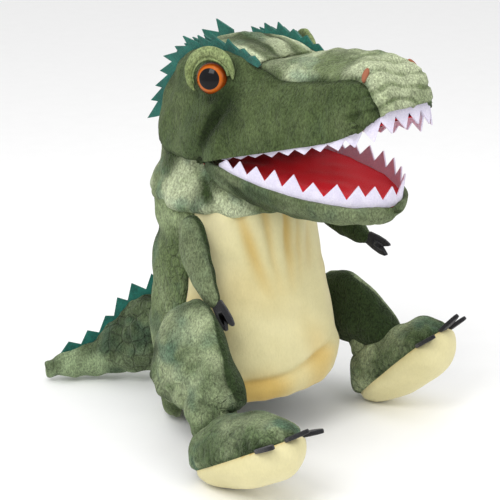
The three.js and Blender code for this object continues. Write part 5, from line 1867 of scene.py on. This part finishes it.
@dataclass
class Arm:
    """A small stuffed arm with felt claws."""

    side: Side
    swing: float
    length: float = 51.0
    width: float = 26.0
    thick: float = 17.0

    SHAPE = ((0, 0.3, 0.3), (0.05, 0.66, 0.68), (0.2, 0.94, 0.97), (0.45, 1, 1), (0.7, 0.8, 0.86), (0.9, 0.58, 0.66),
             (0.97, 0.42, 0.5), (1, 0.2, 0.2))
    CLAW = (
        (0, -4.2), (0.4, -5.2), (0.75, -5.4), (1, -4.6), (1.06, -3.6), (0.95, -2.4), (0.72, -1.0), (0.66, 0),
        (0.72, 1.0), (0.95, 2.4), (1.06, 3.6), (1, 4.6), (0.75, 5.4), (0.4, 5.2), (0, 4.2),
    )
    CLAW_LENGTH = 17.0

    def at(self, points: Array) -> Array:
        """Points of the hanging arm's own frame, swung forwards about the shoulder."""
        pivot = np.array(JOINTS[f"arm_{self.side.word}_swing"]["pos_m"], float) * 1000 - SHIFT
        turned = np.asarray(points, float) * np.array([self.side.value, 1, 1])
        return turned @ turn_x(-self.swing).T + pivot

    def start(self, stuffing: Stuffing) -> None:
        """Make the arm's skin and put it in line for the cloth solver."""
        long = self.length
        path = Path(self.at([(-2.6, 0, 9), (-1, 1, -long * 0.35), (0, -1, -long * 0.7), (0, -6, -long)]))
        rings = limb_rings(path, self.SHAPE, self.width / 2 - 1.6, self.thick / 2 - 1.4, SIDEWAYS)
        self.plane = self.at([(0, 0, 0)])[0]
        self.piece = stuffing.add(
            f"arm_skin_{self.side.word}", rings, 2.6, 4.0, lambda p: bell(p[:, 0] - self.plane[0], 1.6)
        )

    def end(self) -> None:
        """Sink the seam round the arm, darken its inner half, and add the claws."""
        points, normals = read_points(self.piece), read_normals(self.piece)
        off = (points[:, 0] - self.plane[0]) * self.side.value
        gap = np.abs(off + 1.0)
        groove = bell(gap, 1.3)
        rise = 0.35 * lumps(points, 15, 111) - 1.0 * groove
        write_points(self.piece, points + rise[:, None] * normals)
        # Painted shade in the sunk seam; the inner half is drawn darker and the outer half paler.
        write_tones(self.piece, 0.35 * smoothstep(off, 0, 3) - 0.9 * smoothstep(-off, 0, 3) - 0.5 * groove)
        word = self.side.word
        dress(self.piece, f"arm_{word}", JAWS, [f"arm_{word}"])
        self.claws()

    def claws(self) -> None:
        """Make the two-toed felt claw: an outline with a notch, swept through the felt's thickness."""
        tip = self.at([(0, -6, -self.length + 3.5)])[0]
        ahead = unit(tip - self.at([(0, -2, -self.length * 0.7)])[0])
        out = SIDEWAYS
        spread = unit(np.cross(out, ahead))
        axes = (self.CLAW_LENGTH * ahead, spread, out)
        piece = felt_claw(f"hand_felt_{self.side.word}", self.CLAW, tip, axes, 1.5)
        dress(piece, f"arm_{self.side.word}", BLACK, [f"hand_claws_{self.side.word}"])


@dataclass
class Leg:
    """A stuffed thigh and the foot under it."""

    side: Side
    height: float
    foot_x: float
    foot_y: float
    tilt: float
    leg_x: float = 78.0
    leg_y: float = -20.0
    knee: float = 37.0
    thick: float = 34.0
    depth: float = 80.0
    lean: float = 12.0
    length: float = 90.0
    width: float = 48.0
    tall: float = 49.0
    splay: float = 4.0
    sole_tilt: float = 9.0
    sole_up: float = -2.0

    THIGH = ((0, 0.35, 0.35, 8), (0.07, 0.78, 0.85, -1), (0.17, 0.99, 1.05, -4), (0.32, 1, 1, -3),
             (0.52, 0.97, 0.86, 1), (0.72, 0.78, 0.66, 3), (0.9, 0.5, 0.42, 3), (1, 0.2, 0.16, 3))
    FOOT = ((-0.5, 0.2, 0.2), (-0.46, 0.48, 0.5), (-0.36, 0.8, 0.82), (-0.2, 0.95, 0.97), (0, 1, 1), (0.2, 0.97, 0.94),
            (0.37, 0.82, 0.75), (0.46, 0.56, 0.48), (0.5, 0.25, 0.2))
    TOES = ((-0.3, 0.4, -18, -8), (0.0, 0.505, 0, 4), (0.3, 0.4, 18, -2))
    CLAW = ((0, -4.4), (0.3, -4.5), (0.6, -3.9), (0.85, -2.6), (0.98, -1.3), (1.02, 0), (0.98, 1.3), (0.85, 2.6),
            (0.6, 3.9), (0.3, 4.5), (0, 4.4))
    CLAW_LENGTH = 18.0
    RIDGE = ((88, -42, 92), (95, -22, 66), (94, -8, 52))

    def foot_turn(self, extra: float = 0.0) -> Array:
        """The matrix of the foot's frame: splayed outwards, then tipped so that its toes rise."""
        return turn_z(self.side.value * self.splay) @ turn_x(-self.tilt - extra)

    @property
    def foot_middle(self) -> Array:
        """The middle of the foot, which rests on the floor."""
        lean = np.radians(self.tilt)
        sag = np.hypot(self.length / 2 * np.sin(lean), self.tall / 2 * np.cos(lean))
        return np.array([self.side.value * self.foot_x, self.foot_y, sag])

    def at(self, x: Array | float, along: Array | float, up: Array | float, extra: float = 0.0) -> Array:
        """A point of the foot's frame in the sewing frame."""
        x, along, up = np.broadcast_arrays(np.asarray(x, float), along, up)
        local = np.stack([self.side.value * x, -along, up], -1)
        return local @ self.foot_turn(extra).T + self.foot_middle

    def start(self, stuffing: Stuffing) -> None:
        """Make the skins of the thigh and the foot and put them in line for the cloth solver."""
        word = self.side.word
        t = shares(40)[:, None]
        turn = circle(44)[None]
        wide, deep = (self.thick / 2 - 1.5) * curve(self.THIGH, t, 1), (self.depth / 2 - 2.0) * curve(self.THIGH, t, 2)
        middle = self.side.value * (self.leg_x - self.lean * np.maximum(0, t - 0.5) - 1.5)
        x = middle + wide * np.cos(turn)
        y = self.leg_y + curve(self.THIGH, t, 3) + deep * np.sin(turn)
        rings = np.stack([x, y, self.knee + t * self.height + 0 * x], -1)
        seam_x = middle.mean()
        self.thigh = stuffing.add(
            f"thigh_skin_{word}", rings, 4.0, 5.0, lambda p: bell(p[:, 0] - seam_x, 2.2)
        )
        t = np.linspace(-0.5, 0.5, 46)[:, None]
        wide, high = (self.width / 2 - 1.5) * curve(self.FOOT, t, 1), (self.tall / 2 - 1.5) * curve(self.FOOT, t, 2)
        rings = self.at(wide * np.cos(turn), t * self.length * 0.985, high * np.sin(turn))
        normal = self.sole_normal
        spot = self.at(0.0, 0.0, self.sole_up, self.sole_tilt)
        self.foot = stuffing.add(
            f"foot_skin_{word}", rings, 4.0, 5.0, lambda p: bell((p - spot) @ normal, 2.4)
        )

    @property
    def sole_normal(self) -> Array:
        """The direction square to the plane of the seam round the sole."""
        return self.foot_turn(self.sole_tilt) @ UP

    def end(self) -> None:
        """Finish the thigh, part the foot from its sole, and add the claws."""
        word = self.side.word
        points, normals = read_points(self.thigh), read_normals(self.thigh)
        front = smoothstep(-points[:, 1], 22, 58)
        off = points[:, 0] * self.side.value - self.leg_x + 8.0 - 13.0 * front
        groove = bell(off, 1.7) * (0.35 + 0.65 * front)
        pebbles = smoothstep(points[:, 1], -38, -6) * smoothstep(-points[:, 2], -66, -48)
        rise = 0.7 * lumps(points, 26, 121) - 1.7 * groove + pebbles * (0.7 * lumps(points, 8.5, 122) + 1.0)
        ridge = away_from(points, np.array(self.RIDGE) * (self.side.value, 1, 1))
        rise += 1.4 * bell(ridge, 3.4) - 1.2 * bell(ridge - 7, 3.0)
        write_points(self.thigh, points + rise[:, None] * normals)
        inner = smoothstep(-off, -0.5, 2.0)
        # Painted shade in the sunk seam.
        tones = 0.75 * bell(ridge, 5.0) - 1.5 * inner - 0.4 * pebbles - 0.5 * groove
        write_tones(self.thigh, tones + 0.3 * lumps(points, 30, 123))
        dress(self.thigh, f"leg_{word}", LEGS, [f"thigh_{word}"])
        self.ankle()
        self.feet()
        self.claws()

    def ankle(self) -> None:
        """Make the creased ankle between the thigh and the foot."""
        word = self.side.word
        high = np.array([self.side.value * (self.leg_x + 1), self.leg_y - 6, self.knee + 15])
        low = self.at(0.0, -13.0, 1.0)
        line = Path([high, (high + low) / 2 + np.array([0, 5.0, 1.0]), low])
        shape = ((0, 0.3, 0.3), (0.1, 0.7, 0.7), (0.3, 0.98, 0.98), (0.6, 1, 1), (0.85, 0.85, 0.85), (1, 0.35, 0.35))
        rings = limb_rings(line, shape, 13.0, 15.0, SIDEWAYS, 60)
        normals = facing(rings, True, line.at(np.array([0.5]))[0])
        t = shares(len(rings))[:, None]
        crease = bell(t - 0.62 + 0.05 * lumps(rings, 20, 161), 0.05)
        rings = rings + (0.5 * lumps(rings, 14, 162) - 2.0 * crease)[..., None] * normals
        # Painted shade in the ankle's crease.
        piece = closed(f"ankle_skin_{word}", rings, -0.15 - 0.5 * crease + 0.3 * lumps(rings, 20, 163))
        dress_bending(piece, (point(*high), point(*low)), LEGS)

    def feet(self) -> None:
        """Gather the foot's upper into its seam, then cut the sole off as its own piece."""
        word = self.side.word
        points, normals = read_points(self.foot), read_normals(self.foot)
        spot = self.at(0.0, 0.0, self.sole_up, self.sole_tilt)
        above = (points - spot) @ self.sole_normal
        groove = bell(above, 1.8)
        local = (points - self.foot_middle) @ self.foot_turn()
        around = np.arctan2(-local[:, 1], local[:, 0])
        gather = np.sin(around * 30) * bell(above - 5, 4.5) * (above > 0)
        rise = 0.6 * lumps(points, 24, 131) - 1.7 * groove + 0.75 * gather
        rise += np.where(above > 0, 0.0, -0.25 * lumps(points, 24, 131))
        moved = points + rise[:, None] * normals
        moved[:, 2] = np.maximum(moved[:, 2], 0.3 + 0.02 * np.minimum(moved[:, 2], 0))
        write_points(self.foot, moved)
        # Painted shade in the sunk seam round the sole and in the hollows of the gathers; the sole darkens towards the
        # seam.
        tones = 0.3 * lumps(points, 28, 132) - 0.55 * groove - 0.45 * np.clip(-gather, 0, 1)
        tones = np.where(above > 0, tones, 0.25 - 0.55 * bell(above, 3.5))
        write_tones(self.foot, tones)
        sole = cut_in_two(self.foot, f"sole_skin_{word}", spot, self.sole_normal)
        dress(self.foot, f"foot_{word}", LEGS, [f"foot_{word}"])
        dress(sole, f"foot_{word}", CREAM, [f"sole_{word}"])

    def claws(self) -> None:
        """Make the toe claws: tapered felt wedges whose roots are caught in the seam round the sole."""
        word = self.side.word
        for number, (share, along, fan, droop) in enumerate(self.TOES, 1):
            start = self.at(share * self.width, along * self.length - 5.0, self.sole_up + 0.2, self.sole_tilt)
            turn = self.foot_turn(self.sole_tilt) @ turn_x(-droop)
            ahead = turn @ np.array([np.sin(np.radians(fan)) * self.side.value, -np.cos(np.radians(fan)), 0])
            over = turn @ UP
            axes = (self.CLAW_LENGTH * ahead, np.cross(ahead, over), over)
            piece = felt_claw(f"toe_felt_{word}_{number}", self.CLAW, start, axes, 1.3)
            dress(piece, f"foot_{word}", BLACK, [f"toe_claw_{word}_{number}"])


@dataclass
class Tail:
    """The stuffed tail with its felt crest."""

    wide: float = 42.0
    high: float = 62.0
    reach: float = 84.0
    turn: float = 44.0

    SHAPE = ((0, 0.3, 0.3), (0.03, 0.55, 0.55), (0.1, 0.87, 0.87), (0.2, 1, 1), (0.35, 0.92, 0.83), (0.55, 0.7, 0.55),
             (0.75, 0.5, 0.38), (0.92, 0.34, 0.25), (0.98, 0.24, 0.17), (1, 0.08, 0.06))

    def path(self) -> Path:
        """The tail's middle line, from inside the body to the tip on the floor."""
        lean = np.radians(self.turn)
        heading = np.array([-np.sin(lean), np.cos(lean), 0])
        start = np.array(JOINTS["tail_swing"]["pos_m"], float) * 1000 - SHIFT
        end = start + heading * self.reach
        end[2] = 8.0
        middle = (start + end) / 2 + np.array([4, 4, -6])
        return Path([start - heading * self.wide / 2, start, middle, end])

    def start(self, stuffing: Stuffing) -> None:
        """Make the tail's skin and put it in line for the cloth solver."""
        line = self.path()
        rings = limb_rings(line, self.SHAPE, self.wide / 2 - 1.5, self.high / 2 - 2.0, UP, 44)
        middle = line.at(shares(60))
        normal = unit(np.cross(middle[-1] - middle[0], [0, 0, 1.0]))
        self.piece = stuffing.add(
            "tail_skin", rings, 3.4, 5.0,
            lambda p: bell((p - middle[20]) @ normal, 1.8) * (p[:, 2] > 20),
        )

    def end(self) -> None:
        """Sink the top seam, press lumps into the skin, and add the crest."""
        line = self.path()
        points, normals = read_points(self.piece), read_normals(self.piece)
        low = smoothstep(-points[:, 2] + 0.16 * (points[:, 1] - 70), -22, -6)
        rise = 0.5 * lumps(points, 20, 141) + 0.5 * lumps(points, 10, 142)
        moved = points + rise[:, None] * normals
        moved[:, 2] = np.maximum(moved[:, 2], 0.4)
        write_points(self.piece, moved)
        write_tones(self.piece, 0.9 * low - 0.15 + 0.3 * lumps(points, 24, 143))
        dress(self.piece, "tail", TAILS, ["tail"])
        t = np.linspace(0.12, 0.86, 30)
        ahead = line.heading(t)
        over = unit(UP - ahead * ahead[:, 2:])
        spine = Path(line.at(t) + over * (self.high / 2 * curve(self.SHAPE, t, 2) - 1.8)[:, None])
        places, heights = saw(spine, (0.0, 1.0), 17.0, 151, 0.2)
        base = spine.at(places)
        heading = spine.heading(places)
        tall = np.interp(places, [0, 0.3, 1], [13, 13, 8.5])
        up = UP + 0.35 * heading
        tops = base + up * (tall * heights)[:, None]
        across = np.cross(heading, [0, 0, 1.0])
        piece = felt_strip("tail_felt", base - np.array([0, 0, 1.5]), tops, across, FELT)
        dress(piece, "tail", TEAL, ["tail_crest"])


# --- the studio


@dataclass
class Studio:
    """A pale floor, soft lights and the camera."""

    azimuth: float = -47.0
    elevation: float = 17.5
    distance: float = 1.0
    target: tuple[float, float, float] = (0.004578, -0.00898, 0.114)
    lens: float = 111.7

    LAMPS = (("key", -75, 48, 0.6, 7), ("fill", 15, 30, 0.9, 2), ("top", -20, 80, 0.8, 3))
    LAMP_TARGET = (0, 0, 0.12)
    LAMP_DISTANCE = 1.3
    SKY = 0.85

    @staticmethod
    def stand(
        made: Piece, azimuth: float, elevation: float, target: Sequence[float], distance: float
    ) -> None:
        """Stand a camera or a lamp on a sphere round its target, facing it."""
        a, e = np.radians(azimuth), np.radians(elevation)
        back = np.array([np.sin(a) * np.cos(e), -np.cos(a) * np.cos(e), np.sin(e)])
        made.location = np.array(target) + back * distance
        made.rotation_euler = (np.pi / 2 - e, 0, a)

    def camera(self) -> None:
        """Place the camera."""
        data = bpy.data.cameras.new("camera")
        data.lens, data.sensor_width = self.lens, 36
        made = put("camera", data)
        self.stand(made, self.azimuth, self.elevation, self.target, self.distance)
        bpy.context.scene.camera = made
        bpy.context.scene.view_settings.view_transform = "Standard"

    def lamp(self, name: str, azimuth: float, elevation: float, size: float, watts: float) -> None:
        """Place a square lamp that faces the puppet."""
        data = bpy.data.lights.new(name, "AREA")
        data.size, data.energy = size, watts
        self.stand(put(name, data), azimuth, elevation, self.LAMP_TARGET, self.LAMP_DISTANCE)

    def build(self) -> None:
        """Make the floor, the world, the lamps and the camera."""
        self.camera()
        size = np.linspace(-4, 4, 9)
        x, y = np.meshgrid(size, size)
        points = np.stack([x, y, 0 * x - 0.0004], -1).reshape(-1, 3) * 1000 - SHIFT
        floor = bpy.data.meshes.new("floor")
        floor.from_pydata(to_frame(points).tolist(), [], grid_faces(9, 9, False).tolist())
        ground = put("floor", floor)
        g = Graph("floor_paper", Specular_IOR_Level=0.1)
        grain = g.noise(g.place, 40.0, 3.0)
        floor.materials.append(g.feed(Base_Color=g.mix(grain, (0.93, 0.93, 0.93), (0.96, 0.96, 0.96)),
                                      Roughness=0.85 + grain * 0.1))
        world = bpy.data.worlds.new("studio")
        bpy.context.scene.world = world
        world.use_nodes = True
        sky = next(n for n in world.node_tree.nodes if n.type == "BACKGROUND")
        sky.inputs["Color"].default_value = (1, 1, 1, 1)
        sky.inputs["Strength"].default_value = self.SKY
        for lamp in self.LAMPS:
            self.lamp(*lamp)


def main() -> None:
    """Build every sub-assembly in order."""
    logging.basicConfig(level=logging.INFO, format="%(name)s %(message)s")
    Studio().build()
    Body().build()
    head = Head()
    head.build()
    Mouth(head).build()
    stuffing = Stuffing()
    limbs = [
        Arm(Side.RIGHT, 21),
        Arm(Side.LEFT, 53),
        Leg(Side.RIGHT, 67, 88, -74, 21),
        Leg(Side.LEFT, 52, 79, -60, 36),
        Tail(),
    ]
    for limb in limbs:
        limb.start(stuffing)
    stuffing.settle()
    for limb in limbs:
        limb.end()


if __name__ == "__main__":
    main()
